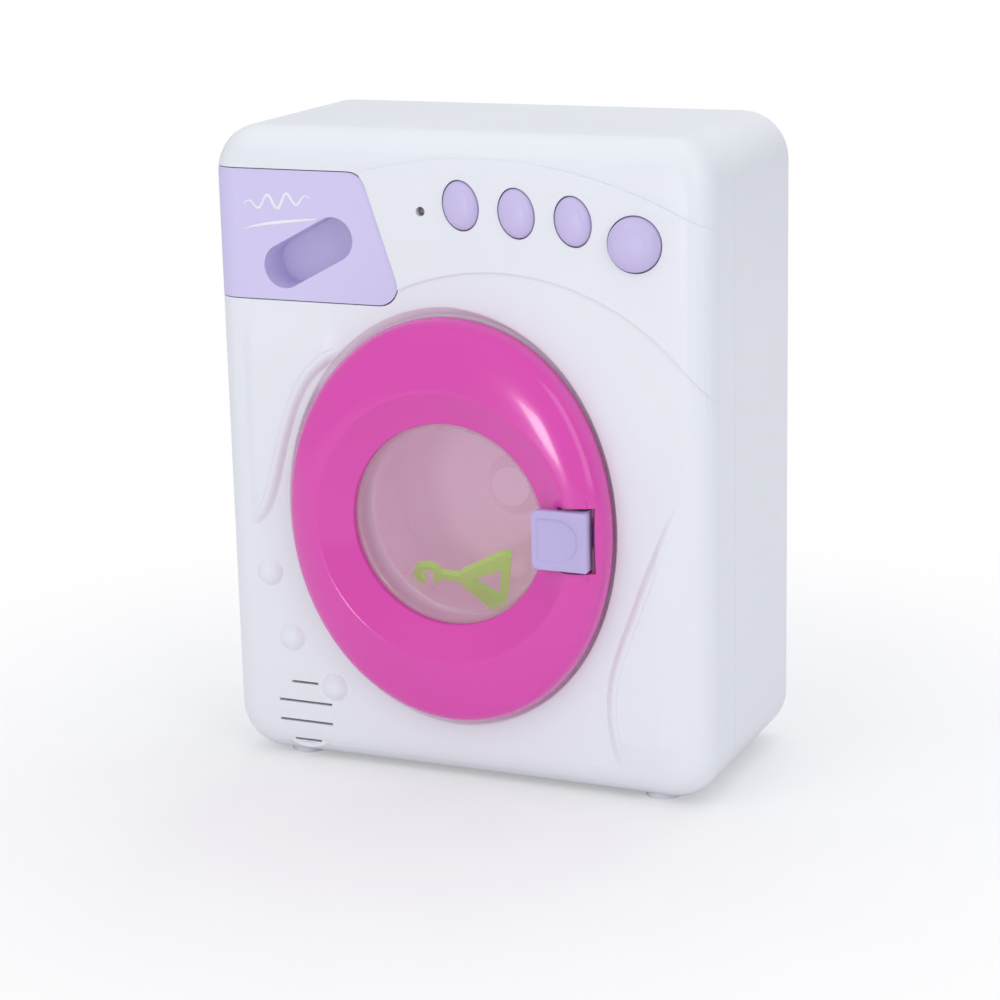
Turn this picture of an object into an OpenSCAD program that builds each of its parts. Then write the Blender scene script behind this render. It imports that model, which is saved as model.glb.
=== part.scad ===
// Toy front-loading washing machine, as an assembly of separate pieces.
// Millimetres. +Z is up and the face with the door looks along -Y.
// The origin is on the floor, below the middle of the whole toy.

/* [Body] */
// Width of the body
body_w = 178; // [170:1:200]
// Height of the body above its feet
body_h = 220; // [214:1:240]
// Depth of the body from its face to its back
body_d = 84; // [82:1:100]
// Radius of the body's corners, seen from the front
corner_r = 16; // [13:1:20]
// Radius of the edge round the face
edge_r = 10; // [6:1:11]
// Radius of the edge round the back
back_r = 5; // [3:0.5:6]
// Thickness of the shell walls
wall = 2.2; // [1.8:0.1:2.6]
// Depth of the white front shell
front_d = 24; // [22:1:26]
// Height of the feet
foot_h = 2; // [1:0.5:4]
// Radius of the feet
foot_r = 6; // [4:0.5:8]
// Height of the raised control panel
panel_h = 0.8; // [0.4:0.1:1.2]
// Gap between pieces that move or drop in
gap = 0.35; // [0.3:0.05:0.5]
// Gap between a shaft and its bore
run_gap = 0.05; // [0.03:0.01:0.09]

/* [Door] */
// Sideways place of the door's middle
door_x = -1; // [-4:0.5:2]
// Height of the door's middle above the floor
door_z = 93; // [91:1:96]
// Half width of the door
door_rx = 59.3; // [58:0.1:61]
// Half height of the door
door_rz = 69.2; // [66:0.1:70]
// Radius of the crest round the window
crest_r = 46.4; // [45:0.1:48]
// How far the crest stands out from the face
crest_out = 12.5; // [11:0.1:13]
// Radius of the window rim
window_r = 34.4; // [32:0.1:36]
// How far the window rim stands out from the face
rim_out = 7; // [6:0.1:8]
// Thickness of the door's walls
door_wall = 2; // [1.6:0.1:2.2]
// Depth of the seat that the door closes into
seat_d = 3; // [2.6:0.1:3.4]
// Width of the sloped side of the seat
seat_slope = 2.4; // [2:0.1:4]
// Gap between the door's edge and the seat
seat_gap = 0.5; // [0.4:0.1:0.9]
// How much deeper the door's free side is than its hinge side
door_rake = 2.4; // [1.6:0.1:2.5]
// Radius of the hole in the door's seat
mouth_r = 45; // [43:0.5:46]
// Depth of the window's bowl
bowl_d = 10; // [8:0.5:11]
// Widest opening of the door, in degrees
door_open = 100; // [60:1:100]

/* [Hinge] */
// Distance of the hinge pin from the door's left edge
hinge_in = 6.2; // [6:0.1:6.5]
// How far the hinge pin stands out from the face
hinge_out = 3.9; // [3.7:0.1:4]
// Radius of the hinge pin
hinge_pin_r = 1; // [0.9:0.05:1.1]
// Radius of the hinge lugs
hinge_lug_r = 1.9; // [1.8:0.05:2]
// Thickness of each hinge lug
hinge_lug_t = 4; // [3:0.5:5]
// Height of the body's lugs above and below the door's middle
hinge_lug_z = 11; // [9:0.5:14]

/* [Latch] */
// Width of the latch
latch_w = 19.5; // [18:0.5:20]
// Height of the latch
latch_h = 20; // [18:0.5:22]
// Thickness of the latch plate
latch_t = 3; // [2.5:0.1:3.2]
// How far the latch stands out from the face
latch_out = 14; // [14:0.1:15]
// Distance of the latch's left end from the door's middle
latch_in = 33; // [32:0.5:34]
// Radius of the latch pin
latch_pin_r = 1.1; // [1:0.05:1.2]
// Radius of the thumb dish
thumb_r = 7.4; // [6:0.1:8]

/* [Buttons] */
// Half width of an oval button
button_rx = 6.1; // [5:0.1:6.5]
// Half height of an oval button
button_rz = 8.1; // [7:0.1:8.5]
// Tilt of the oval buttons, in degrees
button_tilt = 12; // [0:1:20]
// Distance from one button to the next
button_step = 19.5; // [18:0.5:20]
// Height that each button lies below the one before
button_drop = 1.8; // [0:0.1:3]
// Distance from the first button to the start button
button_x = 59.9; // [58:0.1:62]
// Depth of the first button below the top of the body
button_down = 23.2; // [22.4:0.1:25]
// How far an oval button stands out
button_out = 3.4; // [2.5:0.1:4]
// Radius of the start button
start_r = 9; // [8:0.1:10]
// Distance of the start button from the body's right side
start_x = 25; // [23:0.1:26]
// Depth of the start button below the top of the body
start_down = 33.2; // [31:0.1:36]
// How far the start button stands out
start_out = 6; // [4:0.1:7]
// Travel of the buttons
button_travel = 1.5; // [1:0.1:1.8]
// Radius of the lamp
lamp_r = 1.5; // [1.2:0.1:2]

/* [Drawer] */
// Depth of the drawer's top edge below the top of the body
drawer_down = 14; // [12:0.5:16]
// Height of the drawer front
drawer_h = 43.7; // [42:0.1:46]
// Right end of the drawer front's lower edge
drawer_right = -17; // [-20:0.5:-16]
// Slant of the drawer front's right edge
drawer_slant = 15; // [10:0.5:18]
// Corner radius of the drawer front
drawer_corner = 7; // [5:0.5:8]
// Travel of the drawer
drawer_travel = 30; // [20:1:32]
// Length of the drawer's tray
tray_l = 36; // [30:1:40]
// Width of the finger pocket
pocket_w = 15; // [13:0.5:16]
// Length of the finger pocket
pocket_l = 35.7; // [32:0.1:37]
// Depth of the finger pocket
pocket_d = 13; // [10:0.5:14]
// Slant of the finger pocket, in degrees
pocket_tilt = 28; // [15:1:30]
// Wall thickness of the drawer and its sleeve
thin = 1.5; // [1.2:0.1:1.8]

/* [Drum] */
// Outer radius of the drum
drum_r = 48; // [47:0.5:48.5]
// Length of the drum
drum_l = 46; // [42:1:47]
// Radius of the drum's mouth
drum_mouth_r = 35; // [33:0.5:43]
// Thickness of the drum's walls
drum_wall = 1.8; // [1.4:0.1:2.2]
// Gap between the door's seat and the drum
drum_gap = 3.2; // [3:0.1:4]
// Number of lifting ribs in the drum
rib_count = 3; // [2:1:4]
// Radius of the drum shaft
shaft_r = 2.5; // [2:0.1:3]

/* [Drive] */
// Module of the drum gear and its pinion
slow_module = 1.2; // [1:0.1:1.2]
// Module of the motor's gears
fast_module = 0.8; // [0.7:0.05:0.85]
// Teeth of the drum gear
drum_teeth = 60; // [54:1:62]
// Teeth of the idler's pinion
pinion_teeth = 9; // [9:1:12]
// Teeth of the idler's wheel
wheel_teeth = 44; // [44:1:46]
// Thickness of the gears
gear_t = 4; // [3:0.5:4]
// Direction of the idler from the drum, in degrees above level
drive_angle = 52; // [50:1:54]
// Radius of the motor's can
motor_r = 10; // [9:0.5:10]
// Length of the motor's can
motor_l = 25; // [20:1:27]

/* [Speaker] */
// Radius of the speaker
speaker_r = 11.5; // [10.5:0.5:12]
// Distance of the speaker from the body's left side
speaker_x = 28.7; // [28:0.1:30]
// Height of the speaker's middle above the body's underside
speaker_z = 16.6; // [16.6:0.1:18]
// Length of the longer speaker slots
slot_l = 20.5; // [16:0.5:21]
// Height of a speaker slot
slot_h = 0.9; // [0.7:0.1:1.2]
// Distance from one slot to the next
slot_step = 7.1; // [6.5:0.1:7.2]

/* [Power] */
// Length of a cell
cell_l = 50.5; // [49:0.5:51]
// Radius of a cell
cell_r = 7.1; // [7:0.05:7.25]
// Height of the battery well above the floor
battery_z = 11; // [10.5:0.5:12]
// Width of the switch knob
knob_w = 5; // [4:0.5:6]
// Travel of the switch knob
knob_travel = 4; // [3:0.5:4]

/* [Hidden] */

eps = 0.01;
round_fn = 48;
top_z = foot_h + body_h;
mid_z = foot_h + body_h/2;
face_y = -(body_d - latch_out)/2;
back_y = face_y + body_d;
split_y = face_y + front_d;
inner_y = face_y + wall;
rear_in = back_y - wall;
lap_l = 3;
lap = wall/2;
foot_x = body_w/2 - 22;
foot_y = 14;

// Screws and the posts they turn into
screw_r = 1.2;
head_r = 2.4;
head_t = 1.2;
post_r = 2.8;
case_head_in = 10;
case_head_y = split_y + case_head_in;
case_l = 20;
case_post_r = 4.5;
case_head_r = 2.9;
case_post_in = 13;
case_post_side = 11;
case_post_low = 42;
case_post_mid = 58;
case_posts = [for (sx = [-1, 1], z = [foot_h + case_post_low, door_z + case_post_mid, top_z - case_post_in])
    [sx*(body_w/2 - case_post_side), z]];

// Door
seat_y = face_y + seat_d;
seat_back = seat_y + wall;
seat_rx = door_rx + seat_gap;
seat_rz = door_rz + seat_gap;
door_rear = face_y - 0.5;
rim_y = face_y - rim_out;
crest_steps = [[crest_out, crest_r - 0.4], [crest_out - 0.35, crest_r + 1.4]];
door_steps = [[crest_out - 3, 4.2], [crest_out - 4.3, 2.2], [crest_out - 6.5, 0.9], [3, 0]];
bezel_t = 1.8;
flange_y = rim_y + door_wall;
flange_t = 1.5;
flange_r = window_r + 3.6;
bowl_r = window_r - 0.6;
bowl_wall = 1.5;
collar_r = window_r + 0.8;
collar_t = 2;
door_post_in = 25.5;
door_post_down = 25;
door_post_x = door_rx - door_post_in;
door_post_z = door_rz - door_post_down;
door_posts = [for (sx = [-1, 1], sz = [-1, 1]) [door_x + sx*door_post_x, door_z + sz*door_post_z]];
door_screw_l = 4.5;

// Hinge
hinge_x = door_x - door_rx + hinge_in;
hinge_y = face_y - hinge_out;
hinge_gap = 0.3;
hinge_arm = 9.6;
hinge_arm_t = 1.5;
hinge_stem = 4.8;
hinge_z = hinge_lug_z + hinge_lug_t/2;
hinge_pin_l = hinge_z + hinge_gap + hinge_lug_t;

// Latch
latch_x0 = door_x + latch_in;
latch_x1 = latch_x0 + latch_w;
latch_y0 = face_y - latch_out;
latch_y1 = latch_y0 + latch_t;
latch_px = latch_x1 - 3.6;
latch_py = face_y - 7;
latch_boss_r = 2.6;
latch_lug_t = 2.4;
latch_side = 1;
latch_hole_x = latch_x0 + 8;
latch_corner = 2.5;
latch_pin_l = latch_h/2 + latch_side + latch_lug_t;
leg_w = 2.6;
leg_h = 4.2;
leg_end = seat_back + 2.2;
barb_w = 1.7;
catch_h = 5;
coil_z0 = 5;
coil_z1 = 8.5;
coil_r = 1.8;
coil_wire = 0.3;
thumb_d = 0.8;
thumb_in = 1.6;

// Buttons and board
button_flange_y = inner_y + 0.1;
button_flange_t = 1.2;
button_flange_w = 1.3;
stem_l = 5;
stem_r = 2;
dome_h = 3;
dome_r = 3.4;
board_t = 1.6;
board_y = button_flange_y + button_flange_t + stem_l + 0.1 + dome_h;
start_cx = body_w/2 - start_x;
start_z = top_z - start_down;
first_x = start_cx - button_x;
button_z = top_z - button_down;
lamp_in = 14.4;
lamp_drop = 2.5;
lamp_x = first_x - lamp_in;
lamp_z = button_z - lamp_drop;
lamp_y = face_y + 0.8;
lamp_l = 5.3;
board_edge = 3;
board_lamp = 5.5;
board_start = 16;
board_low = 8;
board_x0 = lamp_x - board_lamp;
board_x1 = start_cx + board_start;
board_z0 = start_z - board_low;
board_z1 = top_z - case_post_in - case_post_r - 0.7;
board_posts = [[board_x0 + board_edge, board_z0 + board_edge], [board_x0 + board_edge, board_z1 - board_edge],
               [board_x1 - board_edge, board_z0 + board_edge],
               [first_x + 2.5*button_step, board_z1 - board_edge]];
board_screw_l = 6;

// Drawer
drawer_z1 = top_z - drawer_down;
drawer_z0 = drawer_z1 - drawer_h;
drawer_back = face_y + edge_r + 2;
drawer_turn = atan2(drawer_h, -drawer_slant);
pocket_in = 35.3;
pocket_up = 16.3;
pocket_x = drawer_right - pocket_in;
pocket_z = drawer_z0 + pocket_up;
tray_side = 7;
tray_in = 17;
tray_up = 2;
tray_h = 30.5;
tray_x0 = -body_w/2 + tray_side;
tray_x1 = drawer_right - tray_in;
tray_z0 = drawer_z0 + tray_up;
tray_z1 = tray_z0 + tray_h;
tray_y0 = face_y + pocket_d + thin;
tray_y1 = tray_y0 + tray_l;
sleeve_y0 = inner_y + 3;
sleeve_y1 = tray_y1 + 0.5 + thin;
ear_in = 4;
ear_y = inner_y + ear_in;
ear_w = 4;
ear_low = 5;
ear_high = 5.3;
ear_left = 16;
ear_right = 12;
ear_top = 26;
sleeve_screw_l = 5;
sleeve_posts = [[tray_x0 + ear_left, drawer_z0 - ear_low], [tray_x1 - ear_right, drawer_z0 - ear_low],
                [tray_x0 + ear_top, drawer_z1 + ear_high]];

// Drum
drum_y0 = seat_back + drum_gap;
drum_y1 = drum_y0 + drum_l;
drum_back = 2;
hub_r = 7;
hub_l = 3;
rib_r = 5;
rib_c = drum_r - drum_wall;
rib_start = 108;
disc_r = 34;
disc_t = 1.6;
hanger_w = 34;
hanger_h = 34;
hanger_t = 2.5;
hanger_turn = [166, -54, -60];
hanger_in = 6.9;
hanger_left = 1.1;
hanger_up = 1.9;

// Gear plate and gears
plate_y = drum_y1 + hub_l + 1.2;
plate_t = 2.5;
plate_r = 47;
plate_back = plate_y + plate_t;
plate_arm = 13;
wheel_y = plate_back + 1.2;
gear_y = wheel_y + gear_t + 1;
gear_back = gear_y + gear_t;
gear_hub_r = 6;
boss_y = gear_back + 1;
slow_c = slow_module*(drum_teeth + pinion_teeth)/2 + 0.1;
fast_c = fast_module*(wheel_teeth + pinion_teeth)/2 + 0.1;
idler_x = door_x + slow_c*cos(drive_angle);
idler_z = door_z + slow_c*sin(drive_angle);
motor_x = idler_x + fast_c*cos(drive_angle);
motor_z = idler_z + fast_c*sin(drive_angle);
idler_pin_r = 1.5;
idler_seat = 6;
motor_shaft_r = 1;
motor_nose_r = 3;
motor_nose_l = 1.5;
motor_flat = 0.76;
cup_l = 12;
bush_r = 4.5;
bush_l = 4.5;
bush_boss_r = 7;
plate_post_r = 4;
plate_post_c = 43;
plate_posts = [for (a = [115, 190, 265, 350]) [door_x + plate_post_c*cos(a), door_z + plate_post_c*sin(a)]];
plate_screw_l = 8;

// Speaker
slot_rows = [1.5, 0.5, -0.5, -1.5];
spk_x = -body_w/2 + speaker_x;
spk_z = foot_h + speaker_z;
spk_in = 2;
spk_y = inner_y + spk_in;
spk_t = 8;
spk_wall = 1.5;
spk_ear_in = 4.5;
spk_ear = speaker_r + spk_ear_in;
spk_screw_l = 5;
spk_bore_l = 6;
spk_posts = [for (sx = [-1, 1]) [spk_x + sx*spk_ear, spk_z]];

// Battery well, its door and the switch
bat_w = cell_l + 6;
bat_h = 4*cell_r + 3;
bat_d = 2*cell_r + 2.6;
bat_y = rear_in - bat_d;
bat_wall = 1.5;
bat_z = battery_z + bat_h/2;
bat_lip = 2.5;
bat_door_t = 1.8;
bat_ear = 9;
bat_screw_in = 4.8;
bat_screw_l = 8;
bat_post_l = 12;
bat_screw_x = bat_w/2 + bat_screw_in;
bat_tab_w = 6;
bat_tab_l = 1.6;
cell_y = bat_y + cell_r + 0.1;
cell_dz = cell_r + 0.4;
contact_t = 0.4;
knob_side = 36;
knob_up = 26;
knob_x = body_w/2 - knob_side;
knob_z = foot_h + knob_up;
knob_h = 4;
knob_in = 1.3;
knob_stem = 2.4;
switch_d = 5;

white = [0.90, 0.92, 0.97];
lilac = [0.73, 0.66, 0.87];
pink = [0.84, 0.24, 0.67];
mauve = [0.80, 0.70, 0.77];
steel = [0.75, 0.76, 0.78];
dark = [0.2, 0.2, 0.22];

// ---- Shared shapes ----

// A round bar along Y, from y0 to y1
module bar(x, z, y0, y1, r, fn = round_fn)
    translate([x, y1, z]) rotate([90, 0, 0]) cylinder(r = r, h = y1 - y0, $fn = fn);

// A tube along Y
module tube(x, z, y0, y1, r1, r0)
    difference() {
        bar(x, z, y0, y1, r1);
        bar(x, z, y0 - 1, y1 + 1, r0);
    }

// A block between two corners
module block(a, b) translate(a) cube(b - a);

// A flat outline drawn in X and Z, thickened from y0 to y1
module plate(y0, y1) translate([0, y1, 0]) rotate([90, 0, 0]) linear_extrude(y1 - y0) children();

function ellipse_pts(a, b, n = 48) = [for (i = [0:n - 1]) [a*cos(360*i/n), b*sin(360*i/n)]];

// An oval ring of points at y
function oval(x, z, y, a, b, n = 64) = [for (p = ellipse_pts(a, b, n)) [x + p[0], y, z + p[1]]];

// A solid stretched over rings of points, given from front to back and each turning from +X to +Z
module loft(rings) {
    n = len(rings[0]);
    last = len(rings) - 1;
    walls = [for (i = [0:last - 1], k = [0:n - 1])
        let (a = i*n + k, b = i*n + (k + 1) % n)
        each [[a, b, b + n], [a, b + n, a + n]]];
    caps = [[for (k = [n - 1:-1:0]) k], [for (k = [0:n - 1]) last*n + k]];
    polyhedron([for (r = rings) each r], concat(walls, caps));
}

// Outline of a rectangle with round corners, about the middle
function round_pts(w, h, r, n = 8) = [for (q = [0:3], i = [0:n])
    let (sx = q == 0 || q == 3 ? 1 : -1, sz = q < 2 ? 1 : -1, a = 90*(q + i/n))
    [sx*(w/2 - r) + r*cos(a), sz*(h/2 - r) + r*sin(a)]];

// The body's skin from y0 to y1, drawn in by inset, with a rolled edge at the end that faces dir
module skin(y0, y1, inset, r, dir) {
    er = r - inset;
    roll = [for (a = [90:-15:0]) [er*(1 - sin(a)), er*(1 - cos(a))]];
    steps = concat(roll, [[y1 - y0, 0]]);
    last = len(steps) - 1;
    loft([for (i = [0:last])
        let (s = steps[dir < 0 ? i : last - i], in = 2*(inset + s[1]), y = dir < 0 ? y0 + s[0] : y1 - s[0])
        [for (p = round_pts(body_w - in, body_h - in, corner_r - in/2)) [p[0], y, mid_z + p[1]]]]);
}

// A screw that runs from y0 towards +Y, head first
module screw(x, z, y0, l, hr = head_r, r = screw_r) {
    difference() {
        bar(x, z, y0, y0 + head_t, hr, 24);
        block([x - hr*0.6, y0 - eps, z - 0.3], [x + hr*0.6, y0 + 0.6, z + 0.3]);
        block([x - 0.3, y0 - eps, z - hr*0.6], [x + 0.3, y0 + 0.6, z + hr*0.6]);
    }
    bar(x, z, y0 + head_t, y0 + head_t + l, r, 24);
}

// A screw that runs from y0 towards -Y, head first
module back_screw(x, z, y0, l, hr)
    translate([0, 2*y0, 0]) mirror([0, 1, 0]) screw(x, z, y0, l, hr);

// The unwinding angle of an involute at radius r
function involute(base, r) = r <= base ? 0 : sqrt(r*r/(base*base) - 1)*180/PI - acos(base/r);

// Outline of an involute gear with slack between its teeth
function gear_pts(m, z) =
    let (pitch = m*z/2, base = pitch*cos(20), tip = pitch + 0.9*m, start = max(base, pitch - 1.1*m),
         root = min(pitch - 1.2*m, start - 0.05*m), steps = 3)
    [for (i = [0:z - 1], side = [-1, 1], k = [0:steps + 1])
        let (j = side < 0 ? k : steps + 1 - k,
             r = j == 0 ? root : start + (tip - start)*(j - 1)/steps,
             half = 90/z*0.86 + involute(base, pitch) - involute(base, max(r, start)),
             a = 360*i/z + side*half)
        [r*cos(a), r*sin(a)]];

// A gear along Y with a tooth at angle a, measured from +X towards +Z
module gear(x, z, y0, y1, m, teeth, a)
    translate([x, y1, z]) rotate([90, 0, 0]) linear_extrude(y1 - y0) rotate(a) polygon(gear_pts(m, teeth));

// A wire swept along a list of points, with a regular section
function unit(v) = v/norm(v);
function wire_dir(p, i) = unit(p[min(i + 1, len(p) - 1)] - p[max(i - 1, 0)]);
module wire(p, r, up, sides = 6)
    loft([for (i = [len(p) - 1:-1:0])
        let (d = wire_dir(p, i), u = unit(cross(d, up)), v = cross(d, u))
        [for (k = [0:sides - 1]) p[i] + r*(cos(360*k/sides)*u + sin(360*k/sides)*v)]]);

// ---- Door seat, arcs and other marks of the face ----

module seat_cut()
    loft([oval(door_x, door_z, face_y - panel_h - 1, seat_rx + seat_slope, seat_rz + seat_slope),
          oval(door_x, door_z, face_y, seat_rx + seat_slope, seat_rz + seat_slope),
          oval(door_x, door_z, seat_y, seat_rx, seat_rz)]);

module seat_wall()
    loft([oval(door_x, door_z, inner_y - wall/2, seat_rx + seat_slope + wall, seat_rz + seat_slope + wall),
          oval(door_x, door_z, inner_y, seat_rx + seat_slope + wall, seat_rz + seat_slope + wall),
          oval(door_x, door_z, seat_back, seat_rx + wall, seat_rz + wall)]);

// The raised control panel lies between two arcs, right of the drawer
arc_x = 16;
arc_z = top_z - 131.5;
arc_r = 87;
crown_x = 10;
crown_z = top_z - 168;
crown_r = 160;

module panel_outline()
    difference() {
        translate([crown_x, crown_z]) circle(crown_r, $fn = 180);
        translate([arc_x, arc_z]) circle(arc_r, $fn = 180);
        translate([-2*body_w, -body_h]) square([4*body_w, body_h + arc_z]);
        translate([-2*body_w, 0]) square([2*body_w + drawer_right - 4, drawer_z0 + 10]);
        translate([-2*body_w, 0]) square([2*body_w + drawer_right - drawer_slant, 2*top_z]);
    }

bubbles = [[-72, 68.5], [-64.5, 45.4], [-48.7, 28.9]];
bubble_r = 4.9;
bubble_h = 2.1;

module bubble(x, z) {
    ball_r = (bubble_r*bubble_r + bubble_h*bubble_h)/(2*bubble_h);
    intersection() {
        translate([x, face_y + ball_r - bubble_h, z]) sphere(ball_r, $fn = round_fn);
        block([x - bubble_r - 1, face_y - bubble_h - 1, z - bubble_r - 1],
              [x + bubble_r + 1, face_y + 1, z + bubble_r + 1]);
    }
}

module speaker_slots()
    for (row = slot_rows) {
        l = abs(row) > 1 ? slot_l/2 : slot_l;
        z = spk_z + row*slot_step;
        block([spk_x - l/2, face_y - 1, z - slot_h/2], [spk_x + l/2, inner_y + edge_r/2, z + slot_h/2]);
    }

// Outline of the drawer front, which runs off past the body's left side
module drawer_outline(grow) {
    c = drawer_corner;
    low = [drawer_right + grow - c*tan(drawer_turn/2), drawer_z0 - grow + c];
    high = [drawer_right - drawer_slant + grow - c*tan(90 - drawer_turn/2), drawer_z1 + grow - c];
    polygon(concat(
        [[-body_w, drawer_z1 + grow], [-body_w, drawer_z0 - grow]],
        [for (t = [0:6]) low + c*[cos(drawer_turn*t/6 - 90), sin(drawer_turn*t/6 - 90)]],
        [for (t = [0:6]) high + c*[cos(drawer_turn - 90 + (180 - drawer_turn)*t/6),
                                   sin(drawer_turn - 90 + (180 - drawer_turn)*t/6)]]));
}

// Outline of the slanted finger pocket
module pocket_outline(grow)
    translate([pocket_x, pocket_z]) rotate(pocket_tilt) {
        half = (pocket_l - pocket_w)/2;
        square([2*half, pocket_w + 2*grow], center = true);
        for (sx = [-1, 1]) translate([sx*half, 0]) circle(pocket_w/2 + grow, $fn = round_fn);
    }

// ---- Shells ----

module posts(list, y0, y1, r)
    for (p = list) bar(p[0], p[1], y0, y1, r);

module hinge_arms()
    difference() {
        for (sz = [-1, 1]) translate([hinge_x, hinge_y, door_z + sz*hinge_lug_z - hinge_lug_t/2]) {
            cylinder(r = hinge_lug_r, h = hinge_lug_t, $fn = round_fn);
            translate([0, -hinge_arm_t, 0]) cube([hinge_arm, 2*hinge_arm_t, hinge_lug_t]);
            translate([hinge_stem, 0, 0])
                cube([hinge_arm - hinge_stem, seat_y - hinge_y + wall/2, hinge_lug_t]);
        }
        hinge_bore();
    }

module hinge_bore()
    translate([hinge_x, hinge_y, door_z - hinge_pin_l - 1])
        cylinder(r = hinge_pin_r + run_gap, h = 2*hinge_pin_l + 2, $fn = round_fn);

module front_shell() color(white) {
    difference() {
        union() {
            difference() {
                union() {
                    skin(face_y, split_y, 0, edge_r, -1);
                    intersection() {
                        translate([0, -panel_h, 0]) skin(face_y, split_y, 0, edge_r, -1);
                        plate(face_y - panel_h - 1, face_y + edge_r) panel_outline();
                    }
                }
                skin(inner_y, split_y + 1, wall, edge_r, -1);
            }
            seat_wall();
            for (b = bubbles) bubble(b[0], b[1]);
            posts(case_posts, inner_y - wall/2, split_y, case_post_r);
            posts(board_posts, inner_y - wall/2, board_y, post_r);
            posts(sleeve_posts, inner_y - wall/2, ear_y, post_r);
            posts(spk_posts, inner_y - wall/2, spk_y + spk_t, post_r);
            tube(spk_x, spk_z, inner_y - wall/2, spk_y + spk_t - 1.2, speaker_r + gap + spk_wall,
                 speaker_r + gap);
            for (sx = [-1, 1]) translate([sx*foot_x, face_y + foot_y, 0])
                cylinder(r = foot_r, h = foot_h + wall, $fn = round_fn);
        }
        seat_cut();
        bar(door_x, door_z, seat_y - 1, seat_back + 1, mouth_r);
        block([door_x, seat_y - 1, door_z - catch_h], [latch_px + 3.6, seat_back + 1, door_z + catch_h]);
        plate(face_y - 2, drawer_back + gap) drawer_outline(gap);
        for (i = [0:2]) oval_button_cut(i, gap);
        bar(start_cx, start_z, face_y - 2, inner_y + 1, start_r + gap);
        bar(lamp_x, lamp_z, face_y - 2, inner_y + 1, lamp_r + 0.1);
        speaker_slots();
        lap_ring(split_y - lap_l - 0.2, split_y + 1, lap - 0.05, wall + 3);
        posts(case_posts, case_head_y - case_l - 1, split_y + 1, screw_r + run_gap);
        posts(board_posts, board_y - board_screw_l, board_y + 1, screw_r + run_gap);
        posts(sleeve_posts, ear_y - ear_in, ear_y + 1, screw_r + run_gap);
        posts(spk_posts, spk_y + spk_t - spk_bore_l, spk_y + spk_t + 1, screw_r + run_gap);
    }
    hinge_arms();
}

// A flat ring that follows the body's outline, between two insets
module lap_ring(y0, y1, in0, in1)
    plate(y0, y1) translate([0, mid_z]) difference() {
        polygon(round_pts(body_w - 2*in0, body_h - 2*in0, corner_r - in0));
        polygon(round_pts(body_w - 2*in1, body_h - 2*in1, corner_r - in1));
    }

module battery_recess(y0, y1, grow)
    block([-bat_w/2 - bat_lip - grow, y0, bat_z - bat_h/2 - bat_lip - grow],
          [bat_w/2 + bat_ear + grow, y1, bat_z + bat_h/2 + bat_lip + grow]);

module battery_tabs(grow)
    for (sz = [-1, 1]) block(
        [-bat_w/2 - bat_lip - bat_tab_l - grow, back_y - bat_door_t - grow, bat_z + sz*8 - bat_tab_w/2 - grow],
        [-bat_w/2 - bat_lip + 1, back_y - bat_door_t + 1 + grow, bat_z + sz*8 + bat_tab_w/2 + grow]);

module rear_shell() color(lilac) difference() {
    union() {
        difference() {
            skin(split_y, back_y, 0, back_r, 1);
            skin(split_y - 1, rear_in, wall, back_r, 1);
        }
        lap_ring(split_y - lap_l, split_y + 1, lap + 0.1, wall - 0.15);
        posts(case_posts, split_y, rear_in + wall/2, case_post_r);
        posts(plate_posts, plate_back, rear_in + wall/2, plate_post_r);
        bar(door_x, door_z, boss_y, rear_in + wall/2, bush_boss_r);
        bar(idler_x, idler_z, gear_back + 0.6, rear_in + wall/2, plate_post_r);
        block([-bat_w/2 - bat_wall, bat_y - bat_wall, bat_z - bat_h/2 - bat_wall],
              [bat_w/2 + bat_wall, back_y - 1, bat_z + bat_h/2 + bat_wall]);
        battery_recess(back_y - bat_door_t - bat_wall, back_y - wall/2, bat_tab_l + 1.5);
        bar(bat_screw_x, bat_z, back_y - bat_post_l, back_y - wall/2, post_r);
        block([knob_x - 7, rear_in - knob_in, knob_z - 5],
              [knob_x + knob_travel + 7, back_y - 1, knob_z + 5]);
        for (sx = [-1, 1]) translate([sx*foot_x, back_y - foot_y, 0])
            cylinder(r = foot_r, h = foot_h + wall, $fn = round_fn);
    }
    posts(case_posts, split_y - 1, case_head_y + 1, screw_r + 0.3);
    posts(case_posts, case_head_y, back_y + 1, case_head_r + 0.2);
    posts(plate_posts, plate_back - 1, plate_back + plate_screw_l, screw_r + run_gap);
    bar(door_x, door_z, boss_y - 1, boss_y + bush_l, bush_r + 0.02);
    bar(door_x, door_z, boss_y, boss_y + bush_l + 2.5, shaft_r + 0.3);
    bar(idler_x, idler_z, gear_back, gear_back + 0.6 + idler_seat, idler_pin_r + 0.02);
    block([-bat_w/2, bat_y, bat_z - bat_h/2], [bat_w/2, back_y + 1, bat_z + bat_h/2]);
    battery_recess(back_y - bat_door_t, back_y + 1, 0);
    battery_tabs(0.2);
    bar(bat_screw_x, bat_z, back_y - bat_post_l + 2, back_y + 1, screw_r + run_gap);
    block([knob_x - knob_w/2 - 1, back_y - knob_in, knob_z - knob_h/2 - 1],
          [knob_x + knob_travel + knob_w/2 + 1, back_y + 1, knob_z + knob_h/2 + 1]);
    block([knob_x - knob_stem/2 - gap, rear_in - knob_in - 1, knob_z - knob_stem/2 - gap],
          [knob_x + knob_travel + knob_stem/2 + gap, back_y + 1, knob_z + knob_stem/2 + gap]);
}

module case_screws() color(steel)
    for (p = case_posts) back_screw(p[0], p[1], case_head_y + head_t, case_l, case_head_r);

// ---- Drawer ----

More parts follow.
